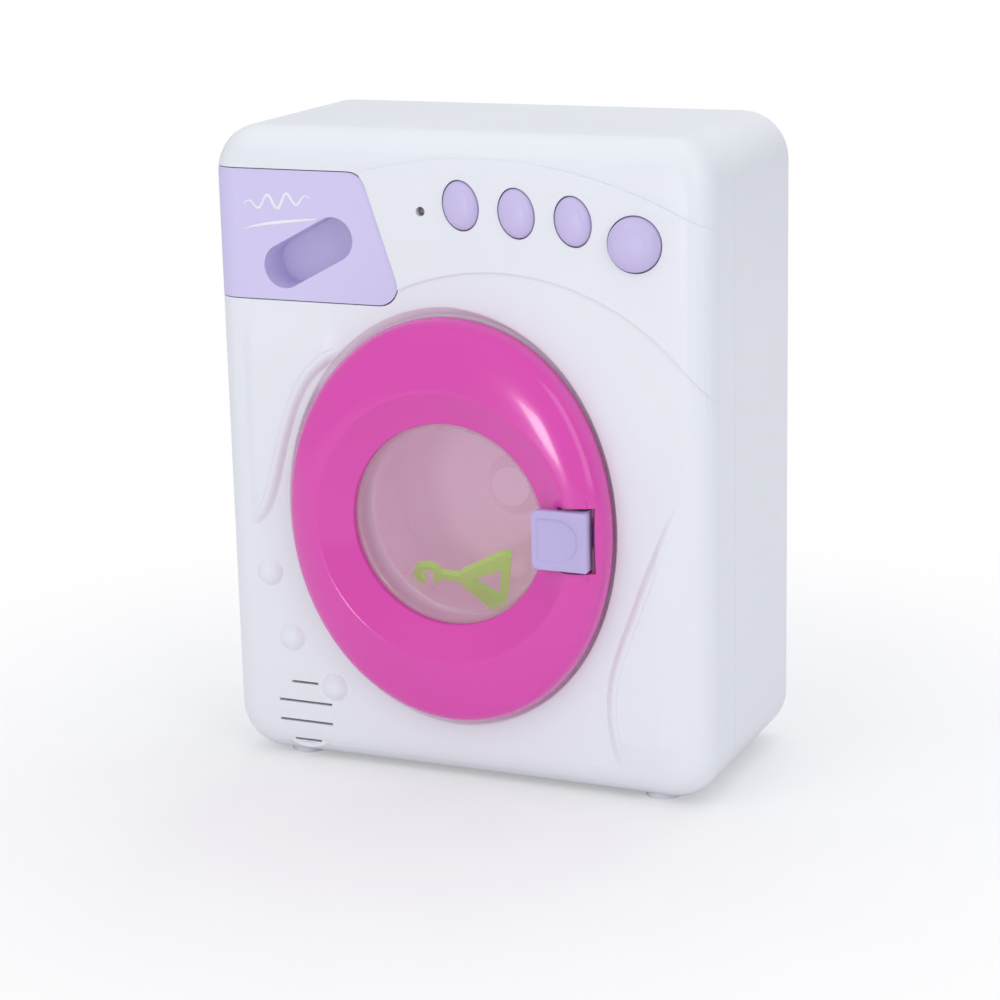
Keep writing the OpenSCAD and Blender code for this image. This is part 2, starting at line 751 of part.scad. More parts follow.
module drawer_front() color(lilac) difference() {
    union() {
        intersection() {
            difference() {
                skin(face_y, split_y, 0, edge_r, -1);
                skin(inner_y, split_y + 1, wall, edge_r, -1);
            }
            plate(face_y - 1, drawer_back) drawer_outline(0);
        }
        plate(inner_y - wall/2, tray_y0) pocket_outline(thin);
    }
    plate(face_y - 1, face_y + pocket_d) pocket_outline(0);
}

module drawer_tray() color(white) difference() {
    block([tray_x0, tray_y0, tray_z0], [tray_x1, tray_y1, tray_z1]);
    block([tray_x0 + thin, tray_y0 + thin, tray_z0 + thin], [tray_x1 - thin, tray_y1 - thin, tray_z1 + 1]);
}

module drawer_sleeve() color(white) difference() {
    union() {
        block([tray_x0 - gap - thin, sleeve_y0, tray_z0 - gap - thin],
              [tray_x1 + gap + thin, sleeve_y1, tray_z1 + gap + thin]);
        for (p = sleeve_posts) {
            bar(p[0], p[1], ear_y, ear_y + thin, ear_w);
            block([p[0] - ear_w, ear_y, min(p[1], tray_z1 - 2)],
                  [p[0] + ear_w, ear_y + thin, max(p[1], tray_z0 + 2)]);
        }
    }
    block([tray_x0 - gap, sleeve_y0 - 1, tray_z0 - gap], [tray_x1 + gap, tray_y1 + 0.5, tray_z1 + gap]);
    posts(sleeve_posts, ear_y - 1, ear_y + thin + 1, screw_r + 0.2);
}

module sleeve_screws() color(steel)
    for (p = sleeve_posts) back_screw(p[0], p[1], ear_y + thin + head_t, sleeve_screw_l, head_r);

// ---- Door ----

// The solid form of the door, drawn in by inset
module door_form(inset) {
    back = inset > 0 ? door_rear + 1 : door_rear;
    rake = door_rake/(2*door_rx - hinge_in);
    loft(concat(
        [for (s = crest_steps) oval(door_x, door_z, face_y - s[0] + inset, s[1] - inset/2, s[1] - inset/2)],
        [for (s = door_steps) oval(door_x, door_z, face_y - s[0] + inset, door_rx - s[1] - inset,
                                   door_rz - s[1] - inset)],
        [[for (p = oval(door_x, door_z, back, door_rx - 0.8 - inset, door_rz - 0.8 - inset))
            [p.x, p.y + rake*(p.x - hinge_x), p.z]]]));
}

// The funnel from the crest down to the window rim
module funnel(y, rim, crest)
    translate([door_x, y, door_z]) rotate([90, 0, 0])
        cylinder(r1 = rim, r2 = crest, h = crest_out - rim_out + (y - rim_y), $fn = 96);

module hinge_lugs()
    for (sz = [-1, 1])
        translate([hinge_x, hinge_y, door_z + sz*(hinge_z + hinge_gap + hinge_lug_t/2) - hinge_lug_t/2]) {
            cylinder(r = hinge_lug_r, h = hinge_lug_t, $fn = round_fn);
            translate([-hinge_lug_r, -crest_out, 0]) cube([2*hinge_lug_r + 2, crest_out, hinge_lug_t]);
        }

module latch_lugs()
    for (sz = [-1, 1])
        translate([latch_px, latch_py, door_z + sz*(latch_pin_l - latch_lug_t/2) - latch_lug_t/2]) {
            cylinder(r = latch_boss_r, h = latch_lug_t, $fn = round_fn);
            translate([-latch_boss_r, -crest_out, 0]) cube([2*latch_boss_r, crest_out, latch_lug_t]);
        }

module latch_bore(z0, z1)
    translate([latch_px, latch_py, door_z + z0])
        cylinder(r = latch_pin_r + run_gap, h = z1 - z0, $fn = round_fn);

module door_ring() color(pink) difference() {
    union() {
        difference() {
            door_form(0);
            door_form(door_wall);
        }
        intersection() {
            door_form(0);
            union() {
                funnel(flange_y, window_r + 2.4, crest_r + 2.2);
                hinge_lugs();
                latch_lugs();
                posts(door_posts, latch_y0, door_rear - bezel_t, post_r);
            }
        }
    }
    funnel(rim_y, window_r, crest_r - 0.9);
    bar(door_x, door_z, latch_y0, face_y + 1, window_r);
    block([latch_hole_x, latch_y0 - 1, door_z - latch_h/2 - latch_side],
          [latch_x1 + 1.3, face_y, door_z + latch_h/2 + latch_side]);
    hinge_bore();
    latch_bore(-latch_pin_l - 1, latch_pin_l + 1);
    posts(door_posts, door_rear - bezel_t - door_screw_l, face_y, screw_r + run_gap);
}

module door_back() color(mauve) difference() {
    union() {
        plate(door_rear - bezel_t, door_rear) translate([door_x, door_z])
            polygon(ellipse_pts(door_rx - 0.8 - door_wall - gap, door_rz - 0.8 - door_wall - gap, 72));
        bar(door_x, door_z, flange_y + flange_t, door_rear - bezel_t/2, collar_r + collar_t);
    }
    bar(door_x, door_z, flange_y, face_y + 1, collar_r);
    block([door_x - door_rx, flange_y + flange_t - 1, door_z - hinge_pin_l - 0.6],
          [hinge_x + hinge_arm + 1.2, face_y + 1, door_z + hinge_pin_l + 0.6]);
    block([latch_hole_x - 2, flange_y + flange_t - 1, door_z - leg_h - 1.8],
          [latch_x1 + 1.3, face_y + 1, door_z + leg_h + 1.8]);
    posts(door_posts, door_rear - bezel_t - 1, face_y + 1, screw_r + 0.2);
    posts(door_posts, door_rear - head_t, face_y + 1, head_r + 0.2);
}

module window() color([0.9, 0.86, 0.92, 0.35]) difference() {
    union() {
        bar(door_x, door_z, flange_y, flange_y + flange_t, flange_r, 96);
        bar(door_x, door_z, flange_y, flange_y + bowl_d, bowl_r, 96);
    }
    bar(door_x, door_z, flange_y - 1, flange_y + bowl_d - bowl_wall, bowl_r - bowl_wall, 96);
}

module door_screws() color(steel)
    for (p = door_posts) back_screw(p[0], p[1], door_rear, door_screw_l, head_r);

module hinge_pin() color(steel)
    translate([hinge_x, hinge_y, door_z - hinge_pin_l])
        cylinder(r = hinge_pin_r, h = 2*hinge_pin_l, $fn = round_fn);

// ---- Latch ----

module latch_outline()
    translate([latch_x0, door_z - latch_h/2]) {
        translate([latch_corner, 0]) square([latch_w - latch_corner, latch_h]);
        translate([0, latch_corner]) square([latch_w, latch_h - 2*latch_corner]);
        for (z = [latch_corner, latch_h - latch_corner])
            translate([latch_corner, z]) circle(latch_corner, $fn = round_fn);
    }

module latch() color(lilac) difference() {
    union() {
        plate(latch_y0, latch_y1) latch_outline();
        translate([latch_px, latch_py, door_z - latch_h/2])
            cylinder(r = latch_boss_r, h = latch_h, $fn = round_fn);
        block([latch_px - latch_boss_r, latch_y1 - eps, door_z - latch_h/2],
              [latch_px + latch_boss_r, latch_py, door_z + latch_h/2]);
        block([latch_px - leg_w/2, latch_py, door_z - leg_h], [latch_px + leg_w/2, leg_end, door_z + leg_h]);
        block([latch_px, seat_back + 0.4, door_z - leg_h],
              [latch_px + leg_w/2 + barb_w, leg_end, door_z + leg_h]);
    }
    latch_bore(-latch_h, latch_h);
    block([latch_px - 2*latch_boss_r, latch_y1 + 0.6, door_z + coil_z0],
          [latch_px + 2*latch_boss_r, latch_py + 4, door_z + coil_z1]);
    bar(latch_x0 + thumb_in + thumb_r, door_z, latch_y0 - 1, latch_y0 + thumb_d, thumb_r);
    block([latch_x0 + thumb_in, latch_y0 - 1, door_z - thumb_r],
          [latch_x0 + thumb_in + thumb_r, latch_y0 + thumb_d, door_z + thumb_r]);
}

module latch_pin() color(steel)
    translate([latch_px, latch_py, door_z - latch_pin_l])
        cylinder(r = latch_pin_r, h = 2*latch_pin_l, $fn = round_fn);

module latch_spring() color(steel) {
    turns = 3;
    rise = coil_z1 - coil_z0 - 1;
    path = [for (i = [0:12*turns])
        [latch_px + coil_r*cos(30*i), latch_py + coil_r*sin(30*i), door_z + coil_z0 + 0.5 + rise*i/(12*turns)]];
    wire(path, coil_wire, [0, 0, 1], 5);
}

// ---- Buttons, lamp and board ----

function button_place(i) = [first_x + i*button_step, button_z - i*button_drop];

module oval_button_cut(i, grow)
    plate(face_y - 2, inner_y + 1) translate(button_place(i)) rotate(button_tilt)
        polygon(ellipse_pts(button_rx + grow, button_rz + grow));

dome_steps = [[1, 0.2], [0.9, 0.55], [0.7, 0.82], [0.4, 0.97], [0, 1]];

module push_button(x, z, a, b, tilt, out) translate([x, 0, z]) rotate([0, -tilt, 0]) {
    loft(concat([for (s = dome_steps) oval(0, 0, face_y - s[0]*out, a*s[1], b*s[1], 48)],
                [oval(0, 0, button_flange_y + 0.5, a, b, 48)]));
    plate(button_flange_y, button_flange_y + button_flange_t)
        polygon(ellipse_pts(a + button_flange_w, b + button_flange_w));
    bar(0, 0, button_flange_y, button_flange_y + button_flange_t + stem_l, stem_r);
}

module oval_button(i) color(lilac) {
    p = button_place(i);
    push_button(p[0], p[1], button_rx, button_rz, button_tilt, button_out);
}

module start_button() color(lilac) push_button(start_cx, start_z, start_r, start_r, 0, start_out);

module switch_dome(x, z) color(dark)
    translate([x, board_y, z]) rotate([90, 0, 0]) difference() {
        cylinder(r1 = dome_r, r2 = stem_r, h = dome_h, $fn = round_fn);
        translate([0, 0, -eps])
            cylinder(r1 = dome_r - 0.7, r2 = stem_r - 0.7, h = dome_h - 0.7, $fn = round_fn);
    }

module led() color([0.85, 0.85, 0.5]) {
    translate([lamp_x, lamp_y + lamp_l, lamp_z]) rotate([90, 0, 0]) rotate_extrude($fn = 32) {
        square([lamp_r + 0.4, 1]);
        square([lamp_r, lamp_l - lamp_r]);
        translate([0, lamp_l - lamp_r]) intersection() {
            circle(lamp_r, $fn = 32);
            square(lamp_r);
        }
    }
    for (sx = [-1, 1]) bar(lamp_x + sx*0.9, lamp_z, lamp_y + lamp_l - 0.5, board_y, 0.25, 16);
}

module control_board() color([0.2, 0.45, 0.3]) difference() {
    block([board_x0, board_y, board_z0], [board_x1, board_y + board_t, board_z1]);
    posts(board_posts, board_y - 1, board_y + board_t + 1, screw_r + 0.2);
}

module board_screws() color(steel)
    for (p = board_posts) back_screw(p[0], p[1], board_y + board_t + head_t, board_screw_l - 1.8, head_r);

// ---- Speaker ----

module speaker() color(dark) {
    tube(spk_x, spk_z, spk_y, spk_y + spk_t, speaker_r, speaker_r - 1.6);
    bar(spk_x, spk_z, spk_y + 2.5, spk_y + 3.3, speaker_r - 1);
    bar(spk_x, spk_z, spk_y + 3, spk_y + spk_t, speaker_r*0.55);
}

module speaker_ring() color(white) difference() {
    union() {
        bar(spk_x, spk_z, spk_y + spk_t, spk_y + spk_t + thin, speaker_r + spk_wall);
        plate(spk_y + spk_t, spk_y + spk_t + thin) translate([spk_x, spk_z])
            square([2*spk_ear, 2*post_r], center = true);
        posts(spk_posts, spk_y + spk_t, spk_y + spk_t + thin, post_r);
    }
    bar(spk_x, spk_z, spk_y, spk_y + spk_t + thin + 1, speaker_r*0.7);
    posts(spk_posts, spk_y, spk_y + spk_t + thin + 1, screw_r + 0.2);
}

module speaker_screws() color(steel)
    for (p = spk_posts) back_screw(p[0], p[1], spk_y + spk_t + thin + head_t, spk_screw_l, head_r);

// ---- Drum ----

module drum() color(mauve) difference() {
    union() {
        difference() {
            bar(door_x, door_z, drum_y0, drum_y1, drum_r, 96);
            bar(door_x, door_z, drum_y0 + drum_wall, drum_y1 - drum_back, drum_r - drum_wall, 96);
        }
        intersection() {
            bar(door_x, door_z, drum_y0, drum_y1, drum_r - drum_wall/2, 96);
            for (i = [0:rib_count - 1]) {
                a = rib_start + 360*i/rib_count;
                bar(door_x + rib_c*cos(a), door_z + rib_c*sin(a), drum_y0 + 1, drum_y1 - 1, rib_r);
            }
        }
        bar(door_x, door_z, drum_y1 - 1, drum_y1 + hub_l, hub_r);
    }
    bar(door_x, door_z, drum_y0 - 1, drum_y0 + drum_wall + eps, drum_mouth_r, 96);
    bar(door_x, door_z, drum_y1 - drum_back - 1, drum_y1 + hub_l + 1, shaft_r + 0.02);
}

module drum_disc() color(mauve) {
    y = drum_y1 - drum_back;
    bar(door_x, door_z, y - disc_t, y, disc_r, 96);
    translate([door_x, y - disc_t, door_z]) rotate([90, 0, 0])
        cylinder(r1 = 11, r2 = 7, h = 4, $fn = round_fn);
}

module drum_shaft() color(steel)
    bar(door_x, door_z, drum_y1 - drum_back, boss_y + bush_l + 1.5, shaft_r);

module drum_gear() color("ivory") difference() {
    union() {
        gear(door_x, door_z, gear_y, gear_back, slow_module, drum_teeth, drive_angle);
        bar(door_x, door_z, plate_y + bush_l + 0.4, gear_back, gear_hub_r);
    }
    bar(door_x, door_z, plate_y, gear_back + 1, shaft_r + 0.02);
}

module idler_gear() color("ivory") difference() {
    union() {
        gear(idler_x, idler_z, wheel_y, wheel_y + gear_t, fast_module, wheel_teeth, drive_angle);
        gear(idler_x, idler_z, wheel_y + gear_t - eps, gear_back, slow_module, pinion_teeth,
             drive_angle + 180 + 180/pinion_teeth);
    }
    bar(idler_x, idler_z, wheel_y - 1, gear_back + 1, idler_pin_r + run_gap);
}

module idler_pin() color(steel)
    bar(idler_x, idler_z, plate_y, gear_back + 0.6 + idler_seat, idler_pin_r);

module motor_pinion() color("ivory") difference() {
    gear(motor_x, motor_z, wheel_y - 0.2, wheel_y + gear_t + 0.2, fast_module, pinion_teeth,
         drive_angle + 180 + 180/pinion_teeth);
    bar(motor_x, motor_z, wheel_y - 1, wheel_y + gear_t + 1, motor_shaft_r + 0.02);
}

module front_bush() color("goldenrod")
    tube(door_x, door_z, plate_y, plate_y + bush_l, bush_r, shaft_r + run_gap);

module rear_bush() color("goldenrod")
    tube(door_x, door_z, boss_y, boss_y + bush_l, bush_r, shaft_r + run_gap);

module motor_can(grow)
    intersection() {
        circle(motor_r + grow, $fn = 96);
        square([3*motor_r, 2*motor_flat*motor_r + 2*grow], center = true);
    }

module gear_plate() color(white) difference() {
    union() {
        plate(plate_y, plate_back) {
            translate([door_x, door_z]) circle(plate_r, $fn = 96);
            translate([door_x, door_z]) rotate(drive_angle) translate([0, -plate_arm])
                square([slow_c + fast_c, 2*plate_arm]);
            translate([motor_x, motor_z]) circle(plate_arm, $fn = round_fn);
        }
        bar(door_x, door_z, plate_y, plate_y + bush_l, bush_boss_r);
        bar(motor_x, motor_z, plate_y - cup_l, plate_y + eps, motor_r + 2);
    }
    bar(door_x, door_z, plate_y - 1, plate_y + bush_l + 1, bush_r + 0.02);
    bar(idler_x, idler_z, plate_y - 1, plate_back + 1, idler_pin_r + 0.02);
    bar(motor_x, motor_z, plate_y - 1, plate_back + 1, motor_nose_r + 0.1);
    plate(plate_y - cup_l - 1, plate_y) translate([motor_x, motor_z]) motor_can(0.15);
    posts(plate_posts, plate_y - 1, plate_back + 1, screw_r + 0.2);
}

module gear_plate_screws() color(steel)
    for (p = plate_posts) screw(p[0], p[1], plate_y - head_t, plate_screw_l, head_r);

module motor() color(steel) difference() {
    union() {
        plate(plate_y - motor_l, plate_y) translate([motor_x, motor_z]) motor_can(0);
        bar(motor_x, motor_z, plate_y - eps, plate_y + motor_nose_l, motor_nose_r);
        for (sx = [-1, 1]) block([motor_x + sx*5 - 0.8, plate_y - motor_l - 2.5, motor_z - 0.2],
                                 [motor_x + sx*5 + 0.8, plate_y - motor_l + 1, motor_z + 0.2]);
    }
    bar(motor_x, motor_z, plate_y - 4, plate_back, motor_shaft_r + run_gap);
}

module motor_shaft() color(steel)
    bar(motor_x, motor_z, plate_y - 3.6, wheel_y + gear_t + 0.8, motor_shaft_r);

// ---- Power ----

module cell(z, dir) {
    x0 = dir*(bat_w/2 - contact_t);
    translate([x0, cell_y, z]) rotate([0, -90*dir, 0]) {
        cylinder(r = 2.7, h = 1.2, $fn = round_fn);
        translate([0, 0, 1]) cylinder(r = cell_r, h = cell_l - 1, $fn = round_fn);
    }
}

module battery_cells() color([0.35, 0.35, 0.4]) {
    cell(bat_z + cell_dz, 1);
    cell(bat_z - cell_dz, -1);
}

module contact_plates() color(steel)
    for (sx = [-1, 1], sz = [-1, 1])
        block([sx*(bat_w/2 - contact_t/2) - contact_t/2, cell_y - 5, bat_z + sz*cell_dz - 5],
              [sx*(bat_w/2 - contact_t/2) + contact_t/2, cell_y + 5, bat_z + sz*cell_dz + 5]);

module contact_springs() color(steel)
    for (dir = [-1, 1]) {
        turns = 3;
        reach = bat_w - 2*contact_t - cell_l - 0.9;
        path = [for (i = [0:12*turns])
            let (r = 4.5 - 2*i/(12*turns))
            [-dir*(bat_w/2 - contact_t - 0.4 - reach*i/(12*turns)), cell_y + r*cos(30*i),
             bat_z + dir*cell_dz + r*sin(30*i)]];
        wire(path, 0.35, [1, 0, 0], 5);
    }

module battery_door() color(lilac) difference() {
    union() {
        battery_recess(back_y - bat_door_t, back_y, -0.25);
        battery_tabs(0);
    }
    bar(bat_screw_x, bat_z, back_y - 4, back_y + 1, screw_r + 0.2);
    bar(bat_screw_x, bat_z, back_y - head_t, back_y + 1, head_r + 0.2);
}

module battery_door_screw() color(steel) back_screw(bat_screw_x, bat_z, back_y, bat_screw_l, head_r);

module power_switch() color(dark) difference() {
    block([knob_x - 6, rear_in - knob_in - switch_d, knob_z - 4],
          [knob_x + knob_travel + 6, rear_in - knob_in, knob_z + 4]);
    block([knob_x - knob_stem/2 - gap, rear_in - knob_in - 3, knob_z - knob_stem/2 - gap],
          [knob_x + knob_travel + knob_stem/2 + gap, rear_in, knob_z + knob_stem/2 + gap]);
}

module switch_knob() color(dark) {
    block([knob_x - knob_w/2, back_y - knob_in + 0.1, knob_z - knob_h/2],
          [knob_x + knob_w/2, back_y - 0.1, knob_z + knob_h/2]);
    block([knob_x - knob_stem/2, rear_in - knob_in - 2.6, knob_z - knob_stem/2],
          [knob_x + knob_stem/2, back_y - 0.5, knob_z + knob_stem/2]);
}

// ---- Hanger lying in the drum ----

module hanger_outline() difference() {
    union() {
        polygon([[-hanger_w/2, 0], [hanger_w/2, 0], [hanger_w/2, 3], [3, 17], [-3, 17], [-hanger_w/2, 3]]);
        translate([-1.6, 15]) square([3.2, hanger_h - 24.5]);
        translate([0, hanger_h - 5.5]) circle(5, $fn = round_fn);
    }
    polygon([[-hanger_w/2 + 9, 3], [hanger_w/2 - 9, 3], [0, 13.5]]);
    translate([0, hanger_h - 5.5]) circle(2.4, $fn = round_fn);
    translate([-6, hanger_h - 7.5]) square([5, 2.6]);
}

module doll_hanger() color([0.62, 0.85, 0.28])
    translate([door_x - hanger_left, drum_y1 - drum_back - disc_t - hanger_in,
               door_z - drum_r + drum_wall + hanger_up])
        rotate(hanger_turn) translate([hanger_w/2, 0, 0]) linear_extrude(hanger_t) hanger_outline();

front_shell();
rear_shell();
case_screws();
drawer_front();
drawer_tray();
drawer_sleeve();
sleeve_screws();
door_ring();
door_back();
window();
door_screws();
hinge_pin();
latch();
latch_pin();
latch_spring();
oval_button(0);  // button_1
oval_button(1);  // button_2
oval_button(2);  // button_3
start_button();
switch_dome(button_place(0)[0], button_place(0)[1]);  // switch_dome_1
switch_dome(button_place(1)[0], button_place(1)[1]);  // switch_dome_2
switch_dome(button_place(2)[0], button_place(2)[1]);  // switch_dome_3
switch_dome(start_cx, start_z);  // switch_dome_4
led();
control_board();
board_screws();
speaker();
speaker_ring();
speaker_screws();
drum();
drum_disc();
drum_shaft();
drum_gear();
idler_gear();
idler_pin();
motor_pinion();
front_bush();
rear_bush();
gear_plate();
gear_plate_screws();
motor();
motor_shaft();
battery_cells();
contact_plates();
contact_springs();
battery_door();
battery_door_screw();
power_switch();
switch_knob();
doll_hanger();
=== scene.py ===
# %% [markdown]
# # A toy front-loading washing machine
# The construction model arrives as a fixed frame: every part is already in its place, in metres,
# with +Z up and the door looking along -Y. This lesson dresses that frame. Parts whose shape is
# already right only get a finish. Parts that are seen close up, such as the door, are made again
# here with rounder forms, and then stand in for the plain ones.

# %% Load the frame
import math
import bpy
import bmesh
from mathutils import Matrix, Vector


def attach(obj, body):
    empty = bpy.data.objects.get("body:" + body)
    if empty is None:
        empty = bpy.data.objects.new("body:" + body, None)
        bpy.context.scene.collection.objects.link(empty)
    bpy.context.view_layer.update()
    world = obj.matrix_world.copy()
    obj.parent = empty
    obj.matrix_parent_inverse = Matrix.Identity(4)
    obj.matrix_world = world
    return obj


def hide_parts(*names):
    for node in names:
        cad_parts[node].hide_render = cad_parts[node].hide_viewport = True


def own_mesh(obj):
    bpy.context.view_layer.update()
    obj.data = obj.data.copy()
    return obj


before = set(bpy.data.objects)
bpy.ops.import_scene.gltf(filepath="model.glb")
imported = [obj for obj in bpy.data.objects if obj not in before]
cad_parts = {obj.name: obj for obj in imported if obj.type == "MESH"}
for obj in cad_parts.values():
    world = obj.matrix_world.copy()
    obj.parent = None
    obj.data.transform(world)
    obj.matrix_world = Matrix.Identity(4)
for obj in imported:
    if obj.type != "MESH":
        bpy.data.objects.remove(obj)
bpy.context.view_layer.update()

# %% [markdown]
# ## Sizes
# The pieces below are modelled in millimetres, because that is how a maker reads a drawing, and are
# scaled to metres at the very end. Only a few sizes are needed again here: the face of the body,
# the middle and the half sizes of the door, the round crest it climbs to, its two pins, the corners
# of the latch and the seat that the door closes into.

# %% Sizes, in millimetres
PER_METRE = 1000.0
FACE, BODY_MIDDLE = -35.0, 111.0
DOOR = (-1.0, 93.0)
DOOR_HALF = (59.3, 69.2)
CREST_R, CREST_OUT = 47.2, 12.42
LATCH = (32.0, 51.5, 83.0, 103.0)
HINGE_PIN, LATCH_PIN = (-54.1, -38.9), (47.9, -42.0)
DOOR_RAKE, RAKE_RUN = 2.4, 2*DOOR_HALF[0] - 6.2
SEAT_EDGE, SEAT_FLOOR = 2.9, -32.0
print("door: %.0f mm wide, %.0f mm high" % (2*DOOR_HALF[0], 2*DOOR_HALF[1]))

# %% [markdown]
# ## The camera
# The camera stands where a person sitting at a table would look from: a little to the right of the
# toy and a little above it. A long lens keeps the upright edges almost parallel.

# %% Camera
LENS, SENSOR = 98.71, 36
CAMERA_PLACE = (0.3684, -0.8363, 0.3330)
CAMERA_AIM = (-0.38978, 0.88468, -0.25576)
CAMERA_TOP = (-0.08178, 0.24337, 0.96648)

def place_camera():
    data = bpy.data.cameras.new("camera")
    data.lens = LENS
    data.sensor_width = SENSOR
    camera = bpy.data.objects.new("camera", data)
    bpy.context.scene.collection.objects.link(camera)
    forward = Vector(CAMERA_AIM).normalized()
    right = forward.cross(Vector(CAMERA_TOP)).normalized()
    up = right.cross(forward)
    camera.matrix_world = Matrix.Translation(CAMERA_PLACE) @ Matrix(
        (right, up, -forward)).transposed().to_4x4()
    bpy.context.scene.camera = camera
    return camera

camera = place_camera()
print("camera:", [round(v, 3) for v in camera.location], "lens", round(camera.data.lens, 1))

# %% [markdown]
# ## Floor and light
# Plain studio light: a large soft box high on the left, a weaker one on the right, and broad ones
# above and behind. The large lamps left, above and behind stay out of reflections, since their
# white patches would wash out the colour of the plastic. A small lamp, low in front like a window,
# and the one on the right give the soft reflections that show the surface's shape.

# %% Floor, backdrop and lamps
FLOOR_HALF = 6

# Name, place, target, size, power and whether the lamp shows in reflections.
LAMPS = (
    ("key_light", (-0.5, -1.25, 1.2), (0, 0, 0.11), (1.3, 1.3), 6.0, False),
    ("window_light", (-0.12, -1.4, 0.115), (0, 0, 0.115), (0.2, 0.22), 1.6, True),
    ("fill_light", (1.0, -0.8, 0.6), (0, 0, 0.11), (0.7, 1.0), 3.0, True),
    ("top_light", (0.05, 0.15, 1.25), (0, 0, 0.1), (1.1, 1.1), 4.3, False),
    ("back_light", (0.1, 1.1, 0.75), (0, 0, 0.1), (0.9, 0.7), 3.0, False),
)

def link(obj):
    bpy.context.scene.collection.objects.link(obj)
    return obj

def soft_box(name, place, target, size, power, mirrored):
    data = bpy.data.lights.new(name, "AREA")
    data.shape = "RECTANGLE"
    data.size, data.size_y = size
    data.energy = power
    lamp = link(bpy.data.objects.new(name, data))
    lamp.location = place
    lamp.rotation_mode = "QUATERNION"
    lamp.rotation_quaternion = (Vector(target) - Vector(place)).to_track_quat("-Z", "Y")
    lamp.visible_glossy = mirrored

for lamp in LAMPS:
    soft_box(*lamp)

def make_floor():
    bm = bmesh.new()
    bmesh.ops.create_grid(bm, x_segments=1, y_segments=1, size=FLOOR_HALF)
    mesh = bpy.data.meshes.new("floor")
    bm.to_mesh(mesh)
    bm.free()
    return link(bpy.data.objects.new("floor", mesh))

floor = make_floor()

# %% [markdown]
# ## Writing finishes as sums
# A finish is a small network of nodes. Drawing such a network in code is easier to read when it
# looks like arithmetic, so the class below wraps one output of a node: adding or multiplying two
# of them adds the Math node that does it. Everything else, a noise or a colour mix, comes from
# one method that takes the kind of node, its settings and what goes into its sockets.

# %% A small language for finishes
MIX_FACTOR, MIX_FIRST, MIX_SECOND, MIX_COLOUR_OUT = 0, 6, 7, 2

class Value:
    def __init__(self, finish, socket):
        self.finish, self.socket = finish, socket

    def _sum(self, operation, *values):
        return self.finish.add("ShaderNodeMath", {"operation": operation}, dict(enumerate(values)))

    def __add__(self, other): return self._sum("ADD", self, other)
    def __radd__(self, other): return self._sum("ADD", other, self)
    def __sub__(self, other): return self._sum("SUBTRACT", self, other)
    def __rsub__(self, other): return self._sum("SUBTRACT", other, self)
    def __mul__(self, other): return self._sum("MULTIPLY", self, other)
    def __rmul__(self, other): return self._sum("MULTIPLY", other, self)
    def __pow__(self, other): return self._sum("POWER", self, other)
    def __rpow__(self, other): return self._sum("POWER", other, self)
    def __abs__(self): return self._sum("ABSOLUTE", self)
    def sign(self): return self._sum("SIGN", self)
    def wave(self): return self._sum("SINE", self)
    def least(self, other): return self._sum("MINIMUM", self, other)
    def most(self, other): return self._sum("MAXIMUM", self, other)

    def between(self, low, high, start=0.0, end=1.0):
        """Rises smoothly from start to end while this value goes from low to high."""
        return self.finish.add("ShaderNodeMapRange", {"interpolation_type": "SMOOTHSTEP"},
                               {0: self, 1: low, 2: high, 3: start, 4: end})


class Finish:
    """One material, built node by node."""

    def __init__(self, name):
        self.material = bpy.data.materials.new(name)
        self.material.use_nodes = True
        self.tree = self.material.node_tree
        self.tree.nodes.clear()
        self.place = self.add("ShaderNodeTexCoord", out="Object")

    def add(self, kind, settings=None, sockets=None, out=0):
        node = self.tree.nodes.new(kind)
        for key, setting in (settings or {}).items():
            if key == "stops":
                ramp = node.color_ramp.elements
                while len(ramp) < len(setting):
                    ramp.new(0.5)
                for stop, (position, colour) in zip(ramp, setting):
                    stop.position, stop.color = position, colour
            else:
                setattr(node, key, setting)
        for key, value in (sockets or {}).items():
            socket = node.inputs[key]
            if isinstance(value, Value):
                self.tree.links.new(value.socket, socket)
            else:
                socket.default_value = value
        return None if out is None else Value(self, node.outputs[out])

    def noise(self, size, detail=3.0, rough=0.55, stretch=(1, 1, 1), shift=0.0):
        """Soft random spots of about the given size in millimetres, from 0 to 1."""
        place = self.add("ShaderNodeMapping", {}, {
            "Vector": self.place, "Scale": stretch, "Location": (shift, shift*0.7, -shift)})
        return self.add("ShaderNodeTexNoise", {}, {
            "Vector": place, "Scale": PER_METRE/size, "Detail": detail, "Roughness": rough})

    def mix(self, factor, first, second, blend="MIX"):
        return self.add("ShaderNodeMix", {"data_type": "RGBA", "blend_type": blend},
                        {MIX_FACTOR: factor, MIX_FIRST: first, MIX_SECOND: second},
                        out=MIX_COLOUR_OUT)

    def parts(self):
        """The X, Y and Z of a point, in millimetres."""
        split = self.add("ShaderNodeSeparateXYZ", {}, {"Vector": self.place}).socket.node
        return [Value(self, split.outputs[i])*PER_METRE for i in range(3)]

    def bump(self, height, depth, edge=0.0):
        """A normal that follows a height of 0 to 1, scaled to a depth in millimetres."""
        sockets = {"Height": height, "Distance": depth/PER_METRE, "Strength": 1.0}
        if edge:
            sockets["Normal"] = self.add("ShaderNodeBevel", {"samples": 4},
                                         {"Radius": edge/PER_METRE})
        return self.add("ShaderNodeBump", {}, sockets)

    def surface(self, **sockets):
        shader = self.add("ShaderNodeBsdfPrincipled", {}, {
            key.replace("_", " "): value for key, value in sockets.items()})
        return self.show(shader)

    def show(self, shader):
        self.add("ShaderNodeOutputMaterial", {}, {"Surface": shader}, out=None)
        return self.material


def paint(red, green, blue):
    """A colour as a paint chart gives it, 0 to 255, turned into the light that a shader wants."""
    def light(value):
        value = value/255.0
        return value/12.92 if value <= 0.04045 else ((value + 0.055)/1.055)**2.4
    return (light(red), light(green), light(blue), 1.0)

print("finish helpers ready")

